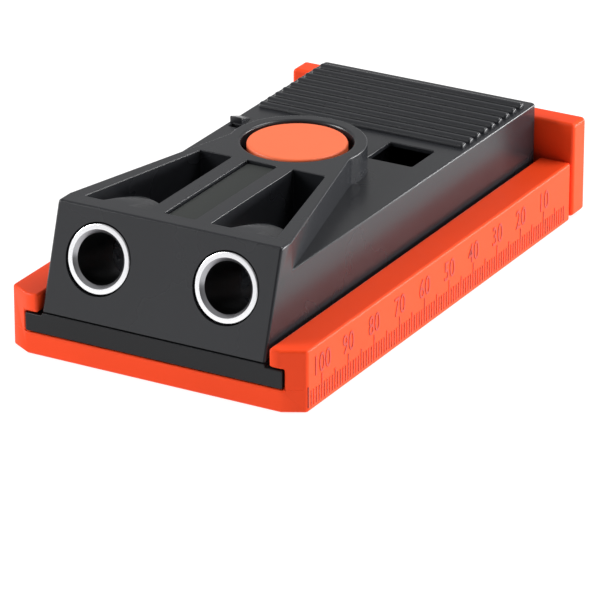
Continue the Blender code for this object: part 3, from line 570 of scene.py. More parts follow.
tray_plastic = plastic("orange_tray_plastic", ORANGE, 0.36, specular=0.12)
fence_plastic = plastic("orange_fence_plastic", ORANGE, 0.36, specular=0.12)
mark_plastic = plastic("orange_mark_plastic", ORANGE_DARK, 0.5)
button_plastic = plastic("orange_button_plastic", BUTTON_ORANGE, 0.45, depth=0.006 * MM, specular=0.3)
shell_plastic = plastic("black_shell_plastic", BLACK, 0.27, vary=0.08, specular=0.43)
plate_plastic = plastic("black_plate_plastic", PLATE_BLACK, 0.33, vary=0.08, specular=0.25)
inlay_plastic = plastic("grey_inlay_plastic", INLAY_GREY, 0.45, vary=0.08, specular=0.4)
sleeve_steel = metal("ground_sleeve_steel", (0.90, 0.90, 0.92), 0.24, vary=0.02, depth=0.001 * MM)
# The sleeve's chamfered mouth and its bore use darker copies of the ring's steel: painted shade on the
# chamfer and down the hole.
mouth_painted_shade_steel = metal("chamfered_mouth_steel", (0.40, 0.40, 0.42), 0.30, vary=0.02, depth=0.001 * MM)
bore_painted_shade_steel = metal("dark_bore_steel", (0.07, 0.07, 0.075), 0.40, depth=0.001 * MM)
rail_steel = metal("drawn_rail_steel", (0.60, 0.60, 0.62), 0.32, stretch=(1.0, 0.04, 1.0))
screw_steel = metal("plated_screw_steel", (0.56, 0.56, 0.58), 0.30)
stem_steel = metal("ground_stem_steel", (0.66, 0.66, 0.68), 0.22, stretch=(1.0, 1.0, 0.1))
spring_steel = metal("spring_wire_steel", (0.55, 0.55, 0.57), 0.28)
clip_steel = metal("dark_clip_steel", (0.30, 0.30, 0.31), 0.35)
guide_brass = metal("turned_guide_brass", (0.72, 0.50, 0.20), 0.26)


# ---- places along the jig --------------------------------------------------------------------

def forward(distance):
    """The Y of a place this far forward of the body's rear end."""
    return BODY_REAR_Y - distance


def face_y(height):
    """The Y of the leaning front face at a height."""
    return FACE_FOOT_Y + (height - SHELL_LOW.z) * math.tan(FACE_LEAN)


def tower_lean():
    """The angle between the tower's straight sides and the Y axis."""
    along = BUTTON_Y - forward(TOWER_JOIN)
    reach = math.hypot(SHELL_HIGH.x, along)
    return math.atan2(SHELL_HIGH.x, along) - math.asin(TOWER_END_RADIUS / reach)


def tower_side_x(y):
    """Half of the tower's width, on its straight side, at a Y."""
    return SHELL_HIGH.x - (y - forward(TOWER_JOIN)) * math.tan(tower_lean())


def on_drill_axis(tool, side):
    """Lay a turned piece along a drill axis, its zero at the leaning face."""
    tilt = -math.pi / 2 - DRILL_ANGLE
    return moved(tool, side * HOLE_HALF, face_y(MOUTH_HEIGHT), MOUTH_HEIGHT, tilt)


# ---- base tray -------------------------------------------------------------------------------

def screw_bore(name, radius, head, depth, steps=SMALL_ROUND):
    """A counterbored screw hole on the Z axis, its shoulder at zero."""
    low = -PAST - depth
    profile = [(0, low), (head, low), (head, 0), (radius, 0), (radius, SCREW_REACH), (0, SCREW_REACH)]
    return turned(name, profile, steps)


def make_tray():
    half = TRAY_HIGH.x
    slot = half - RAIL_WALL
    lip = slot - LIP_REACH
    top = TRAY_HIGH.z
    right = [(half, 0), (half, top), (lip, top), (lip, SLOT_TOP), (slot, SLOT_TOP), (slot, FLOOR_TOP)]
    left = [(-x, z) for x, z in reversed(right)]
    tray = lofted("base_tray_moulding", [(right + left, TRAY_LOW.y), (right + left, TRAY_HIGH.y)], "Y")
    slope = NOSE_CUT_ACROSS / NOSE_CUT_ALONG
    for side, word in SIDES:
        corner = [
            (side * (half - NOSE_CUT_ACROSS - slope * PAST), TRAY_LOW.y - PAST),
            (side * (half + PAST), TRAY_LOW.y - PAST),
            (side * (half + PAST), TRAY_LOW.y + NOSE_CUT_ALONG + PAST / slope),
        ]
        boolean(tray, lofted(f"nose_{word}", [(corner, -PAST), (corner, top + PAST)]))
    bevel(tray, TRAY_EDGE, 3)
    applied(tray)
    for side, word in SIDES:
        middle = side * HOLE_HALF
        outline = box_outline(middle - EXIT_SLOT_WIDTH / 2, middle + EXIT_SLOT_WIDTH / 2,
                              TRAY_LOW.y + EXIT_SLOT_FRONT, TRAY_HIGH.y - EXIT_SLOT_REAR)
        outline = rounded(outline, EXIT_SLOT_CORNER)
        boolean(tray, flared(f"exit_{word}", outline, -PAST, FLOOR_TOP, EXIT_SLOT_RIM))
        screw_low, screw_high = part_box(f"fence_screw_{word}")
        centre = (screw_low + screw_high) / 2
        hole = pin(f"tray_hole_{word}", SCREW_HOLE, -PAST, TRAY_HOLE_DEPTH)
        boolean(tray, moved(hole, centre.x, TRAY_HIGH.y, centre.z, math.pi / 2))
    groove = box_outline(RAIL_LOW.x - GAP, RAIL_HIGH.x + GAP, RAIL_LOW.y - GAP, RAIL_HIGH.y + GAP)
    boolean(tray, flared("groove", groove, GROOVE_FLOOR, FLOOR_TOP, GROOVE_RIM))
    for word in ENDS:
        low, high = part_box(f"rail_screw_{word}")
        hole = screw_bore(f"rail_hole_{word}", SCREW_HOLE, SCREW_SINK, SINK_DEPTH["rail"])
        boolean(tray, moved(hole, 0, (low.y + high.y) / 2, SCREW_SEAT))
    return settle(tray, tray_plastic, "base", ["base_tray"])


def make_parting_line():
    """The faint moulding seam across the tray's two nose cuts, at the floor's height."""
    half = TRAY_HIGH.x
    path = [
        (half - NOSE_CUT_ACROSS + SEAM_END, TRAY_LOW.y + SEAM_SHIFT),
        (half - SEAM_END, TRAY_LOW.y + NOSE_CUT_ALONG - SEAM_SHIFT),
    ]
    low = FLOOR_TOP - SEAM_HALF
    high = FLOOR_TOP + SEAM_HALF
    for side, word in SIDES:
        route = [Vector((side * x, y)) for x, y in path]
        hidden = [tuple(p * SEAM_DEPTH) for p in reversed(route)]
        outline = grown([tuple(p) for p in route] + hidden, SEAM_RISE)
        seam = cushion(f"nose_seam_{word}", outline, low, high, SEAM_RISE, SEAM_RISE)
        settle(seam, tray_plastic, "base")


def make_ticks():
    """The millimetre marks on the right rail: every fifth is taller, every tenth tallest."""
    bm = bmesh.new()
    side = TRAY_HIGH.x
    for i in range(1, SCALE_LAST + 1):
        height = SHORT_TICK
        if i % 10 == 0:
            height = LONG_TICK
        elif i % 5 == 0:
            height = MIDDLE_TICK
        y = SCALE_ZERO_Y - i * SCALE_PITCH
        half = TICK_WIDTH / 2
        foot = [(side - GAP, y - half, TICK_FOOT), (side - GAP, y + half, TICK_FOOT),
                (side - GAP, y + half, height), (side - GAP, y - half, height)]
        inset = 0.05 * MM
        face = side + TICK_RISE
        crown = [(face, y - half + inset, TICK_FOOT + inset), (face, y + half - inset, TICK_FOOT + inset),
                 (face, y + half - inset, height - inset), (face, y - half + inset, height - inset)]
        low = [bm.verts.new(p) for p in foot]
        high = [bm.verts.new(p) for p in crown]
        for k in range(4):
            j = (k + 1) % 4
            bm.faces.new((low[k], low[j], high[j], high[k]))
        bm.faces.new(low)
        bm.faces.new(high)
    return settle(new_object("scale_ticks", bm), mark_plastic, "base")


def make_digits():
    """The numbers of the scale, upright over every tenth mark."""
    half_depth = 0.15 * MM
    for number in range(10, 101, 10):
        curve = bpy.data.curves.new(f"number_{number}", "FONT")
        curve.body = str(number)
        curve.align_x = "CENTER"
        curve.align_y = "TOP"
        curve.size = DIGIT_HEIGHT / CAP_HEIGHT
        curve.space_character = 1.05
        curve.extrude = half_depth
        curve.offset = 0.02 * MM
        curve.resolution_u = 4
        digit = bpy.data.objects.new(f"scale_number_{number}", curve)
        bpy.context.scene.collection.objects.link(digit)
        digit.scale = (DIGIT_NARROWING, 1.0, 1.0)
        digit.rotation_euler = (math.pi / 2, 0, math.pi / 2)
        digit.location = (TRAY_HIGH.x - half_depth + TICK_RISE, SCALE_ZERO_Y - number * SCALE_PITCH,
                          TRAY_HIGH.z - DIGIT_BELOW_TOP)
        bpy.context.view_layer.update()
        graph = bpy.context.evaluated_depsgraph_get()
        mesh = bpy.data.meshes.new_from_object(digit.evaluated_get(graph), depsgraph=graph)
        mesh.transform(digit.matrix_world)
        bpy.data.objects.remove(digit, do_unlink=True)
        made = bpy.data.objects.new(f"scale_number_{number}", mesh)
        bpy.context.scene.collection.objects.link(made)
        mesh.materials.clear()
        settle(made, mark_plastic, "base")


def make_fence():
    outline = box_outline(FENCE_LOW.x, FENCE_HIGH.x, FENCE_LOW.z, FENCE_HIGH.z)
    fence = cushion("rear_fence_plate", rounded(outline, FENCE_CORNER, 6), FENCE_LOW.y, FENCE_HIGH.y,
                    FENCE_EDGE, FENCE_EDGE, "Y", 6)
    wide = SCREW_SINK + FENCE_SINK_RIM
    rim = [
        (0, -PAST), (wide, -PAST), (wide, 0), (SCREW_SINK, FENCE_SINK_RIM), (SCREW_SINK, FENCE_SINK),
        (SCREW_HOLE, FENCE_SINK), (SCREW_HOLE, FENCE_HOLE_DEPTH), (0, FENCE_HOLE_DEPTH),
    ]
    for side, word in SIDES:
        low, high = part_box(f"fence_screw_{word}")
        centre = (low + high) / 2
        hole = turned(f"fence_hole_{word}", rim, SMALL_ROUND)
        boolean(fence, moved(hole, centre.x, FENCE_HIGH.y, centre.z, math.pi / 2))
    return settle(fence, fence_plastic, "base", ["rear_fence"])


def make_screw(node, body, direction):
    """A cap screw with a hexagon socket, in the box of its CAD node."""
    low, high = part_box(node)
    centre = (low + high) / 2
    kind = node.split("_")[0]
    along = high.y - low.y if direction == "forward" else high.z - low.z
    head = (high.x - low.x) / 2
    head_height = HEAD_HEIGHT[kind]
    shank = SHANK[kind]
    edge = 0.22 * MM
    shoulder = 0.1 * MM
    profile = [(0, 0)]
    profile += edge_arc(head - edge, edge, edge, -90, 0)
    profile += [(head, head_height - shoulder), (head - shoulder, head_height), (shank * 1.15, head_height)]
    height = head_height + THREAD_PITCH / 2
    profile.append((shank, height))
    while height + THREAD_PITCH < along - THREAD_PITCH:
        profile += [(shank * 0.82, height + THREAD_PITCH / 2), (shank, height + THREAD_PITCH)]
        height += THREAD_PITCH
    profile += [(shank * 0.6, along), (0, along)]
    piece = turned(f"{node}_turned", profile, SMALL_ROUND)
    hexagon = arc(0, 0, head * 0.52, 0, math.pi * 5 / 3, 5)
    boolean(piece, flared_socket(f"{node}_socket", hexagon, head_height * 0.6))
    if direction == "forward":
        moved(piece, centre.x, high.y, centre.z, math.pi / 2)
    else:
        moved(piece, centre.x, centre.y, low.z)
    settle(piece, screw_steel, body, [node])


def flared_socket(name, outline, depth):
    """A socket cutter that opens downwards from a depth, with a small lead-in."""
    rim = 0.12 * MM
    rings = [(grown(outline, rim), -PAST), (grown(outline, rim), 0), (outline, rim), (outline, depth)]
    return lofted(name, rings)


def make_lock_rail():
    wall = 1.2 * MM
    end = 5.0 * MM
    outline = rounded(box_outline(RAIL_LOW.x, RAIL_HIGH.x, RAIL_LOW.y, RAIL_HIGH.y), 0.8 * MM)
    rail = cushion("lock_rail_bar", outline, RAIL_LOW.z, RAIL_HIGH.z, 0.3 * MM, 0.4 * MM)
    pocket = box_outline(RAIL_LOW.x + wall, RAIL_HIGH.x - wall, RAIL_LOW.y + end, RAIL_HIGH.y - end)
    pocket = rounded(pocket, 0.6 * MM)
    boolean(rail, cushion("rail_pocket", pocket, RAIL_LOW.z - PAST, RAIL_HIGH.z - wall))
    slot = STEM_RADIUS + 2 * GAP
    path = arc(0, BUTTON_Y - SLIDE_TRAVEL, slot, math.pi, 2 * math.pi, 16)
    path += arc(0, BUTTON_Y, slot, 0, math.pi, 16)
    boolean(rail, flared("rail_slot", path, RAIL_HIGH.z - 2 * wall, RAIL_HIGH.z, 0.2 * MM))
    return settle(rail, rail_steel, "base", ["lock_rail"])


# ---- jig body --------------------------------------------------------------------------------

def make_slide_plate():
    wing = PLATE_HIGH.x
    wing_top = SLOT_TOP - GAP
    half = SHELL_HIGH.x
    outline = [
        (wing, PLATE_LOW.z), (wing, wing_top), (half, wing_top), (half, PLATE_HIGH.z),
        (-half, PLATE_HIGH.z), (-half, wing_top), (-wing, wing_top), (-wing, PLATE_LOW.z),
    ]
    plate = cushion("slide_plate_moulding", rounded(outline, PLATE_CORNER, 3), PLATE_LOW.y, PLATE_HIGH.y,
                    PLATE_EDGE, PLATE_EDGE, "Y", 3)
    room = 2 * GAP
    opening = box_outline(RAIL_LOW.x - room, RAIL_HIGH.x + room,
                          RAIL_LOW.y - room, RAIL_HIGH.y + SLIDE_TRAVEL + room)
    opening = rounded(opening, PLATE_OPENING_CORNER)
    boolean(plate, cushion("rail_opening", opening, PLATE_LOW.z - PAST, PLATE_HIGH.z + PAST))
    for side, word in SIDES:
        tool = pin(f"plate_bore_{word}", DRILL_PATH_RADIUS, 0, DRILL_REACH, ROUND)
        boolean(plate, on_drill_axis(tool, side))
        for end in ENDS:
            low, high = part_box(f"plate_screw_{end}_{word}")
            hole = screw_bore(f"plate_hole_{end}_{word}", SCREW_HOLE, SCREW_SINK, SINK_DEPTH["plate"])
            boolean(plate, moved(hole, (low.x + high.x) / 2, (low.y + high.y) / 2, low.z + SCREW_SEAT))
    return settle(plate, plate_plastic, "jig_body", ["slide_plate"])


def tower_outline():
    """The tower's plan: as wide as the body in front, closing in on a round end."""
    lean = tower_lean()
    half = SHELL_HIGH.x
    rough = FACE_FOOT_Y - 2.5 * PAST
    join_y = forward(TOWER_JOIN)
    return ([(half, rough), (half, join_y)]
            + arc(0, BUTTON_Y, TOWER_END_RADIUS, -lean, math.pi + lean, 48)
            + [(-half, join_y), (-half, rough)])


def window_outline(side):
    """The plan of a chip window, its outer side along the tower's."""
    rear_y = forward(WINDOW_REAR)
    front_y = rear_y - WINDOW_LENGTH
    wall = WINDOW_SIDE_WALL / math.cos(tower_lean())
    outline = [
        (side * WINDOW_INNER, front_y), (side * (tower_side_x(front_y) - wall), front_y),
        (side * (tower_side_x(rear_y) - wall), rear_y), (side * WINDOW_INNER, rear_y),
    ]
    return rounded(outline, WINDOW_CORNER, 3)


def cut_windows(shell):
    """Chip windows that leave the round boss of each sleeve standing."""
    for side, word in SIDES:
        window = flared(f"window_{word}", window_outline(side), WINDOW_FLOOR, TOWER_TOP, WINDOW_RIM)
        boss = [(0, -DRILL_LEAD), (BOSS_RADIUS, -DRILL_LEAD)]
        boss += edge_arc(BOSS_RADIUS - BOSS_EDGE, BOSS_END - BOSS_EDGE, BOSS_EDGE, 0, 90, 6)
        boss.append((0, BOSS_END))
        boolean(window, on_drill_axis(turned(f"boss_{word}", boss, ROUND + 4), side))
        boolean(shell, window)


def cut_bores(shell):
    """The sleeves' seats and the drill's clearance bores behind them."""
    for side, word in SIDES:
        seat = SLEEVE_RADIUS + GAP
        end = SLEEVE_SINK + SLEEVE_LENGTH + GAP
        profile = [
            (0, -DRILL_LEAD), (seat, -DRILL_LEAD), (seat, end), (DRILL_PATH_RADIUS, end),
            (DRILL_PATH_RADIUS, DRILL_REACH), (0, DRILL_REACH),
        ]
        boolean(shell, on_drill_axis(turned(f"bore_{word}", profile), side))


def cut_well(shell):
    """The button's well, with a rounded rim, and the stem's guide seat below it."""
    profile = [
        (0, SHELL_LOW.z - PAST), (CLIP_POCKET, SHELL_LOW.z - PAST), (CLIP_POCKET, GUIDE_SEAT),
        (GUIDE_RADIUS + GAP, GUIDE_SEAT), (GUIDE_RADIUS + GAP, WELL_FLOOR), (WELL_RADIUS, WELL_FLOOR),
    ]
    for k in range(6):
        turn = math.pi / 2 * k / 5
        outward = WELL_RIM * (1 - math.cos(turn))
        down = WELL_RIM * (1 - math.sin(turn))
        profile.append((WELL_RADIUS + outward, TOWER_TOP - down))
    profile += [(WELL_RADIUS + WELL_RIM, TOWER_TOP + PAST), (0, TOWER_TOP + PAST)]
    boolean(shell, moved(turned("well", profile), 0, BUTTON_Y))


def cut_pockets(shell):
    """The recess in the tower's top, the deck's window, the cores beneath and the screw holes."""
    rear_y = forward(WINDOW_REAR)
    front_y = rear_y - WINDOW_LENGTH
    recess = rounded(box_outline(-RECESS_HALF, RECESS_HALF, front_y, rear_y), RECESS_CORNER, 3)
    boolean(shell, flared("recess", recess, TOWER_TOP - RECESS_DEPTH, TOWER_TOP, RECESS_RIM))
    window_rear = forward(DECK_WINDOW_FROM_REAR)
    half = DECK_WINDOW_WIDTH / 2
    window = box_outline(DECK_WINDOW_OFFSET - half, DECK_WINDOW_OFFSET + half,
                         window_rear - DECK_WINDOW_LENGTH, window_rear)
    window = rounded(window, DECK_WINDOW_CORNER, 3)
    boolean(shell, flared("deck_window", window, DECK_TOP - 2 * PAST, DECK_TOP, DECK_WINDOW_RIM))
    low = SHELL_LOW.z - PAST
    roof = DECK_TOP - CORE_ROOF
    rear_core = box_outline(-REAR_CORE_HALF, REAR_CORE_HALF,
                            forward(REAR_CORE_FRONT), forward(REAR_CORE_REAR))
    boolean(shell, cushion("rear_core", rounded(rear_core, CORE_CORNER), low, roof, 0, CORE_EDGE))
    front_core = box_outline(-FRONT_CORE_HALF, FRONT_CORE_HALF,
                             front_y + FRONT_CORE_INSET, rear_y - FRONT_CORE_INSET)
    boolean(shell, cushion("front_core", rounded(front_core, CORE_CORNER), low, roof, 0, CORE_EDGE))
    across = half + SIDE_CORE_MARGIN
    side_core = box_outline(DECK_WINDOW_OFFSET - across, DECK_WINDOW_OFFSET + across,
                            window_rear - DECK_WINDOW_LENGTH - SIDE_CORE_MARGIN, forward(SIDE_CORE_REAR))
    boolean(shell, cushion("side_core", side_core, low, DECK_TOP - SIDE_CORE_ROOF))
    for side, word in SIDES:
        for end in ENDS:
            screw_low, screw_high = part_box(f"plate_screw_{end}_{word}")
            centre = (screw_low + screw_high) / 2
            hole = pin(f"shell_hole_{end}_{word}", SCREW_HOLE, low, screw_high.z + GAP)
            boolean(shell, moved(hole, centre.x, centre.y))


def make_shell():
    half = SHELL_HIGH.x
    low = SHELL_LOW.z
    plan = box_outline(-half, half, FACE_FOOT_Y - 3 * PAST, BODY_REAR_Y)
    plan = rounded(plan, SHELL_CORNER, 4)
    shell = cushion("jig_shell_moulding", plan, low, DECK_TOP, SHELL_FOOT_EDGE, DECK_EDGE)
    tower = cushion("tower", tower_outline(), DECK_TOP - 3 * PAST, TOWER_TOP, 0, TOWER_EDGE)
    boolean(shell, tower, "UNION")
    lower = low - PAST
    upper = TOWER_TOP + 0.01 * MM
    beside = half + 0.02 * MM
    behind = BODY_REAR_Y + PAST
    side_view = [(face_y(lower), lower), (behind, lower), (behind, upper), (face_y(upper), upper)]
    wedge = cushion("wedge", rounded(side_view, PROFILE_CORNER, 5), -beside, beside,
                    PROFILE_EDGE, PROFILE_EDGE, "X", 5)
    boolean(shell, wedge, "INTERSECT")
    cut_windows(shell)
    cut_bores(shell)
    cut_pockets(shell)
    cut_well(shell)
    cut_lug_notch(shell)
    return settle(shell, shell_plastic, "jig_body", ["jig_shell"])


def lug_places():
    """The lug's limits along Y and across X."""
    rear = forward(LUG_FROM_REAR)
    outer = LUG_INSET - SHELL_HIGH.x
    return rear - LUG_LENGTH, rear, outer, outer + LUG_WIDTH


def cut_lug_notch(shell):
    front, _, _, inner = lug_places()
    outline = box_outline(inner - LUG_WIDTH * 0.7, inner + LUG_WIDTH * 0.3,
                          front - LUG_INSET - LUG_NOTCH, front - LUG_INSET)
    boolean(shell, flared("lug_notch", outline, DECK_TOP - LUG_NOTCH_DEPTH, DECK_TOP, RECESS_RIM))


def make_lug():
    """The small wedge lug at the deck's left edge."""
    front, rear, outer, inner = lug_places()
    low = DECK_TOP - LUG_ROOT
    side_view = [(front, low), (front, DECK_TOP + LUG_HEIGHT), (rear, DECK_TOP), (rear, low)]
    lug = cushion("deck_lug", rounded(side_view, LUG_EDGE, 3), outer, inner, LUG_EDGE, LUG_EDGE, "X", 3)
    return settle(lug, shell_plastic, "jig_body")


def make_ribs():
    """The rear deck's grip ribs, each with a round crest and round ends."""
    half = RIB_WIDTH / 2
    low = DECK_TOP - RIB_ROOT
    for i in range(RIB_COUNT):
        y = forward(RIB_FIRST + i * RIB_PITCH)
        crest = [(y + half * a, DECK_TOP + RIB_HEIGHT * b) for a, b in arc(0, 0, 1, 0, math.pi, 14)]
        section = crest + [(y - half, low), (y + half, low)]
        rib = cushion(f"grip_rib_{i + 1}", section, -RIB_HALF, RIB_HALF, RIB_EDGE, RIB_EDGE, "X", 5)
        settle(rib, shell_plastic, "jig_body")


def make_inlay():
    outline = box_outline(INLAY_LOW.x, INLAY_HIGH.x, INLAY_LOW.y, INLAY_HIGH.y)
    inlay = cushion("top_inlay_strip", rounded(outline, 0.35 * MM, 4), INLAY_LOW.z, INLAY_HIGH.z,
                    0.1 * MM, 0.15 * MM)
    return settle(inlay, inlay_plastic, "jig_body", ["top_inlay"])


def make_sleeves():
    """Hardened sleeves: a flat ground ring round a chamfered mouth; the chamfer and the bore take darker
    copies of the ring's steel, as painted shade.
    """
    chamfer = MOUTH_CHAMFER
    edge = SLEEVE_EDGE
    back = 0.4 * MM
    lead_in = 0.3 * MM
    profile = [(SLEEVE_BORE, SLEEVE_LENGTH - lead_in), (SLEEVE_BORE, chamfer * 1.2),
               (SLEEVE_BORE + chamfer * 0.94, 0.06 * MM), (SLEEVE_BORE + chamfer * 1.05, 0)]
    profile += edge_arc(SLEEVE_RADIUS - edge, edge, edge, -90, 0)
    profile += [(SLEEVE_RADIUS, SLEEVE_LENGTH - back), (SLEEVE_RADIUS - back, SLEEVE_LENGTH),
                (SLEEVE_BORE + lead_in, SLEEVE_LENGTH)]
    for side, word in SIDES:
        sleeve = turned(f"drill_sleeve_{word}_turned", profile, ROUND, ring=True)
        for steel in (sleeve_steel, bore_painted_shade_steel, mouth_painted_shade_steel):
            sleeve.data.materials.append(steel)
        # Faces of the bore and of the mouth's chamfer take the painted-shade copies of the steel.
        for face in sleeve.data.polygons:
            reach = math.hypot(face.center.x, face.center.y)
            if reach < SLEEVE_BORE + 0.05 * MM:
                face.material_index = 1
            elif reach < SLEEVE_BORE + chamfer and face.normal.z < -0.1:
                face.material_index = 2
        on_drill_axis(sleeve, side)
        sink = Vector((0, math.cos(DRILL_ANGLE), -math.sin(DRILL_ANGLE))) * SLEEVE_SINK
        sleeve.location = sleeve.location + sink
        settle(sleeve, sleeve_steel, "jig_body", [f"drill_sleeve_{word}"], angle=30)


def make_guide():
    flange_low = GUIDE_HIGH.z - 1.0 * MM
    flange = (GUIDE_HIGH.x - GUIDE_LOW.x) / 2
    edge = 0.2 * MM
    low = GUIDE_LOW.z
    profile = [(STEM_HOLE, low + edge), (STEM_HOLE + edge, low), (GUIDE_RADIUS - edge, low),
               (GUIDE_RADIUS, low + edge), (GUIDE_RADIUS, flange_low), (flange - edge, flange_low),
               (flange, flange_low + edge)]
    profile += edge_arc(flange - edge, GUIDE_HIGH.z - edge, edge, 0, 90)
    profile += [(STEM_HOLE + edge, GUIDE_HIGH.z), (STEM_HOLE, GUIDE_HIGH.z - edge)]
    guide = moved(turned("stem_guide_turned", profile, 64, ring=True), 0, BUTTON_Y)
    return settle(guide, guide_brass, "jig_body", ["stem_guide"])


def make_spring():
    """The button's coil spring, as a swept wire."""
    low = SPRING_LOW.z + SPRING_WIRE
    high = SPRING_HIGH.z - SPRING_WIRE
    per_turn = 40
    sides = 12
    steps = SPRING_TURNS * per_turn
    bm = bmesh.new()
    loops = []
    for i in range(steps + 1):
        angle = 2 * math.pi * i / per_turn
        outward = Vector((math.cos(angle), math.sin(angle), 0))
        rise = (high - low) / (2 * math.pi * SPRING_MEAN * SPRING_TURNS)
        along = Vector((-math.sin(angle), math.cos(angle), rise)).normalized()
        across = along.cross(outward)
        centre = outward * SPRING_MEAN + Vector((0, 0, low + (high - low) * i / steps))
        turns = [2 * math.pi * j / sides for j in range(sides)]
        loops.append([bm.verts.new(centre + SPRING_WIRE * (math.cos(t) * outward + math.sin(t) * across))
                      for t in turns])
    for first, second in zip(loops, loops[1:]):
        for j in range(sides):
            k = (j + 1) % sides
            bm.faces.new((first[j], first[k], second[k], second[j]))
    bm.faces.new(loops[0])
    bm.faces.new(loops[-1])
    spring = moved(new_object("button_spring_coil", bm), 0, BUTTON_Y)
    return settle(spring, spring_steel, "jig_body", ["button_spring"])


# ---- release button --------------------------------------------------------------------------

def make_button():
    radius = (BUTTON_HIGH.x - BUTTON_LOW.x) / 2
    low = BUTTON_LOW.z
    top = BUTTON_HIGH.z
    ceiling = top - BUTTON_ROOF
    edge = BUTTON_EDGE
    crown = 0.04 * MM
    foot = 0.2 * MM
    profile = [(0, top), (radius * 0.5, top - crown / 4), (radius - edge - 0.3 * MM, top - crown)]
    profile += edge_arc(radius - edge, top - edge - crown, edge, 90, 0, 8)
    profile += [(radius, low + foot), (radius - foot, low),
                (radius - BUTTON_WALL, low), (radius - BUTTON_WALL, ceiling),
                (BUTTON_SOCKET_RADIUS, ceiling), (BUTTON_SOCKET_RADIUS, BUTTON_SOCKET_LOW),
                (STEM_HOLE, BUTTON_SOCKET_LOW), (STEM_HOLE, ceiling), (0, ceiling)]
    button = moved(turned("release_button_cap", profile), 0, BUTTON_Y)
    return settle(button, button_plastic, "release_button", ["release_button"])


def make_stem():
    groove = STEM_RADIUS - 0.5 * MM
    edge = 0.2 * MM
    tapped = SHOE_SCREW_HOLE
    low = STEM_LOW.z
    high = STEM_HIGH.z
    tapped_end = low + 3.0 * MM
    groove_low = CLIP_LOW.z - GAP
    groove_high = CLIP_HIGH.z + GAP
    profile = [(0, tapped_end), (tapped, tapped_end), (tapped, low + edge), (tapped + edge, low),
               (STEM_RADIUS - edge, low), (STEM_RADIUS, low + edge),
               (STEM_RADIUS, groove_low), (groove, groove_low), (groove, groove_high),
               (STEM_RADIUS, groove_high), (STEM_RADIUS, high - edge), (STEM_RADIUS - edge, high), (0, high)]
    stem = moved(turned("button_stem_turned", profile, 48), 0, BUTTON_Y)
    return settle(stem, stem_steel, "release_button", ["button_stem"])


def make_clip():
    outer = (CLIP_HIGH.y - CLIP_LOW.y) / 2
    inner = STEM_RADIUS - 0.2 * MM
    start = math.radians(35)
    outline = arc(0, 0, outer, start, 2 * math.pi - start, 48)
    outline += arc(0, 0, inner, 2 * math.pi - start, start, 48)
    clip = cushion("stem_clip_pressed", outline, CLIP_LOW.z, CLIP_HIGH.z, 0.1 * MM, 0.15 * MM, steps=3)
    moved(clip, 0, BUTTON_Y)
    return settle(clip, clip_steel, "release_button", ["stem_clip"])


def make_shoe():
    outline = rounded(box_outline(SHOE_LOW.x, SHOE_HIGH.x, SHOE_LOW.y, SHOE_HIGH.y), 1.0 * MM, 5)
    shoe = cushion("lock_shoe_plate", outline, SHOE_LOW.z, SHOE_HIGH.z, 0.2 * MM, 0.2 * MM)
    low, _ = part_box("shoe_screw")
    hole = screw_bore("shoe_bore", SHOE_SCREW_HOLE, SHOE_SCREW_SINK, SINK_DEPTH["shoe"])
    boolean(shoe, moved(hole, 0, BUTTON_Y, low.z + SHOE_SCREW_SEAT))
    return settle(shoe, rail_steel, "release_button", ["lock_shoe"])


# ---- studio ----------------------------------------------------------------------------------

CAMERA_AZIMUTH = math.radians(29.544)
CAMERA_ELEVATION = math.radians(23.309)
CAMERA_PLACE = (0.43825, -0.77487, 0.37878)
CAMERA_LENS = 296.41
FLOOR_HALF = 6.0
FLOOR_BELOW = 0.05 * MM         # under the tray's foot


def make_floor():
    """Pale ground that gives off a little light, so that it stays white."""
    bm = bmesh.new()
    outline = box_outline(-FLOOR_HALF, FLOOR_HALF, -FLOOR_HALF, FLOOR_HALF)
    bm.faces.new([bm.verts.new((x, y, -FLOOR_BELOW)) for x, y in outline])
    floor = new_object("studio_floor", bm)
    made, tree, shader = principled("pale_floor")
    noise = grain(tree, 4.0, 2.0)
    tones = ramp(tree, noise.outputs["Fac"], 0.3, 0.7, (0.24, 0.24, 0.24), (0.26, 0.26, 0.26))
    tree.links.new(tones.outputs["Color"], shader.inputs["Base Color"])
    shader.inputs["Roughness"].default_value = 0.9
    shader.inputs["Specular IOR Level"].default_value = 0.1
    shader.inputs["Emission Color"].default_value = (1.0, 1.0, 1.0, 1.0)
    shader.inputs["Emission Strength"].default_value = 0.85
    floor.data.materials.append(made)


def area_light(name, place, target, size, power):
    """A soft rectangular lamp at a place, turned to a target."""
    data = bpy.data.lights.new(name, "AREA")
    data.shape = "RECTANGLE"
    data.size, data.size_y = size
    data.energy = power
    lamp = bpy.data.objects.new(name, data)
    lamp.location = place
    aim = Vector(target) - Vector(place)
    lamp.rotation_euler = aim.to_track_quat("-Z", "Y").to_euler()
    bpy.context.scene.collection.objects.link(lamp)


def make_lights():
    middle = (0.0, 0.0, 0.012)
    area_light("key_panel", (-1.10, -0.55, 0.65), middle, (0.7, 0.6), 16.0)
    area_light("top_panel", (0.50, 0.55, 1.05), middle, (0.7, 0.5), 9.0)
    area_light("right_panel", (0.85, 0.60, 0.06), middle, (1.1, 0.35), 24.0)
    area_light("front_left_panel", (-0.75, -1.15, 0.15), middle, (1.2, 0.6), 1.1)


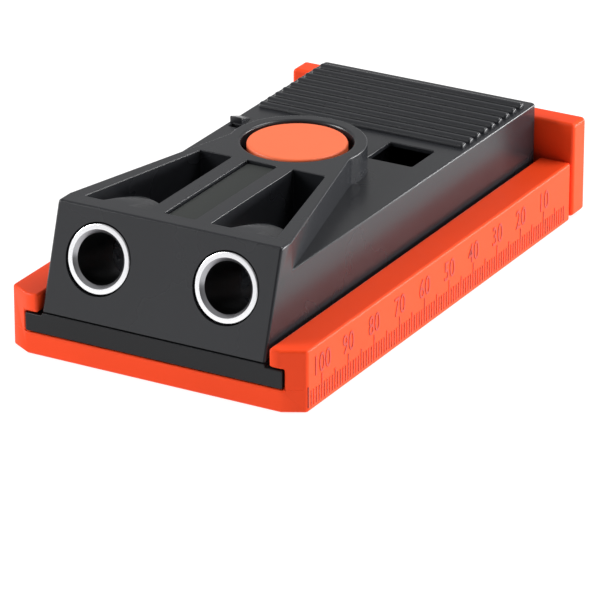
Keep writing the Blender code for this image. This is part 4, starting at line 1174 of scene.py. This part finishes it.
def make_air():
    """White surroundings, darker on the side that the camera stands on."""
    world = bpy.data.worlds.new("studio_air")
    bpy.context.scene.world = world
    world.use_nodes = True
    tree = world.node_tree
    where = tree.nodes.new("ShaderNodeTexCoord")
    towards = tree.nodes.new("ShaderNodeVectorMath")
    towards.operation = "DOT_PRODUCT"
    towards.inputs[1].default_value = Vector(CAMERA_PLACE).normalized()
    tree.links.new(where.outputs["Generated"], towards.inputs[0])
    level = tree.nodes.new("ShaderNodeMapRange")
    level.interpolation_type = "SMOOTHSTEP"
    level.inputs["From Min"].default_value = 0.68
    level.inputs["From Max"].default_value = 0.96
    level.inputs["To Min"].default_value = 0.44
    level.inputs["To Max"].default_value = 0.05
    tree.links.new(towards.outputs["Value"], level.inputs["Value"])
    background = tree.nodes["Background"]
    background.inputs["Color"].default_value = (1.0, 1.0, 1.0, 1.0)
    tree.links.new(level.outputs["Result"], background.inputs["Strength"])


def make_camera():
    data = bpy.data.cameras.new("camera")
    data.lens = CAMERA_LENS
    data.sensor_width = 36.0
    data.clip_start = 0.01
    data.clip_end = 50.0
    camera = bpy.data.objects.new("camera", data)
    camera.location = CAMERA_PLACE
    camera.rotation_euler = (math.pi / 2 - CAMERA_ELEVATION, 0, CAMERA_AZIMUTH)
    bpy.context.scene.collection.objects.link(camera)
    bpy.context.scene.camera = camera


def main():
    bpy.context.scene.view_settings.view_transform = "Standard"
    make_camera()
    make_floor()
    make_lights()
    make_air()
    make_tray()
    make_parting_line()
    make_ticks()
    make_digits()
    make_fence()
    make_lock_rail()
    make_slide_plate()
    make_shell()
    make_ribs()
    make_lug()
    make_inlay()
    make_sleeves()
    make_guide()
    make_spring()
    make_button()
    make_stem()
    make_clip()
    make_shoe()
    for side, word in SIDES:
        make_screw(f"fence_screw_{word}", "base", "forward")
        make_screw(f"plate_screw_front_{word}", "jig_body", "up")
        make_screw(f"plate_screw_rear_{word}", "jig_body", "up")
    for word in ENDS:
        make_screw(f"rail_screw_{word}", "base", "up")
    make_screw("shoe_screw", "release_button", "up")


main()
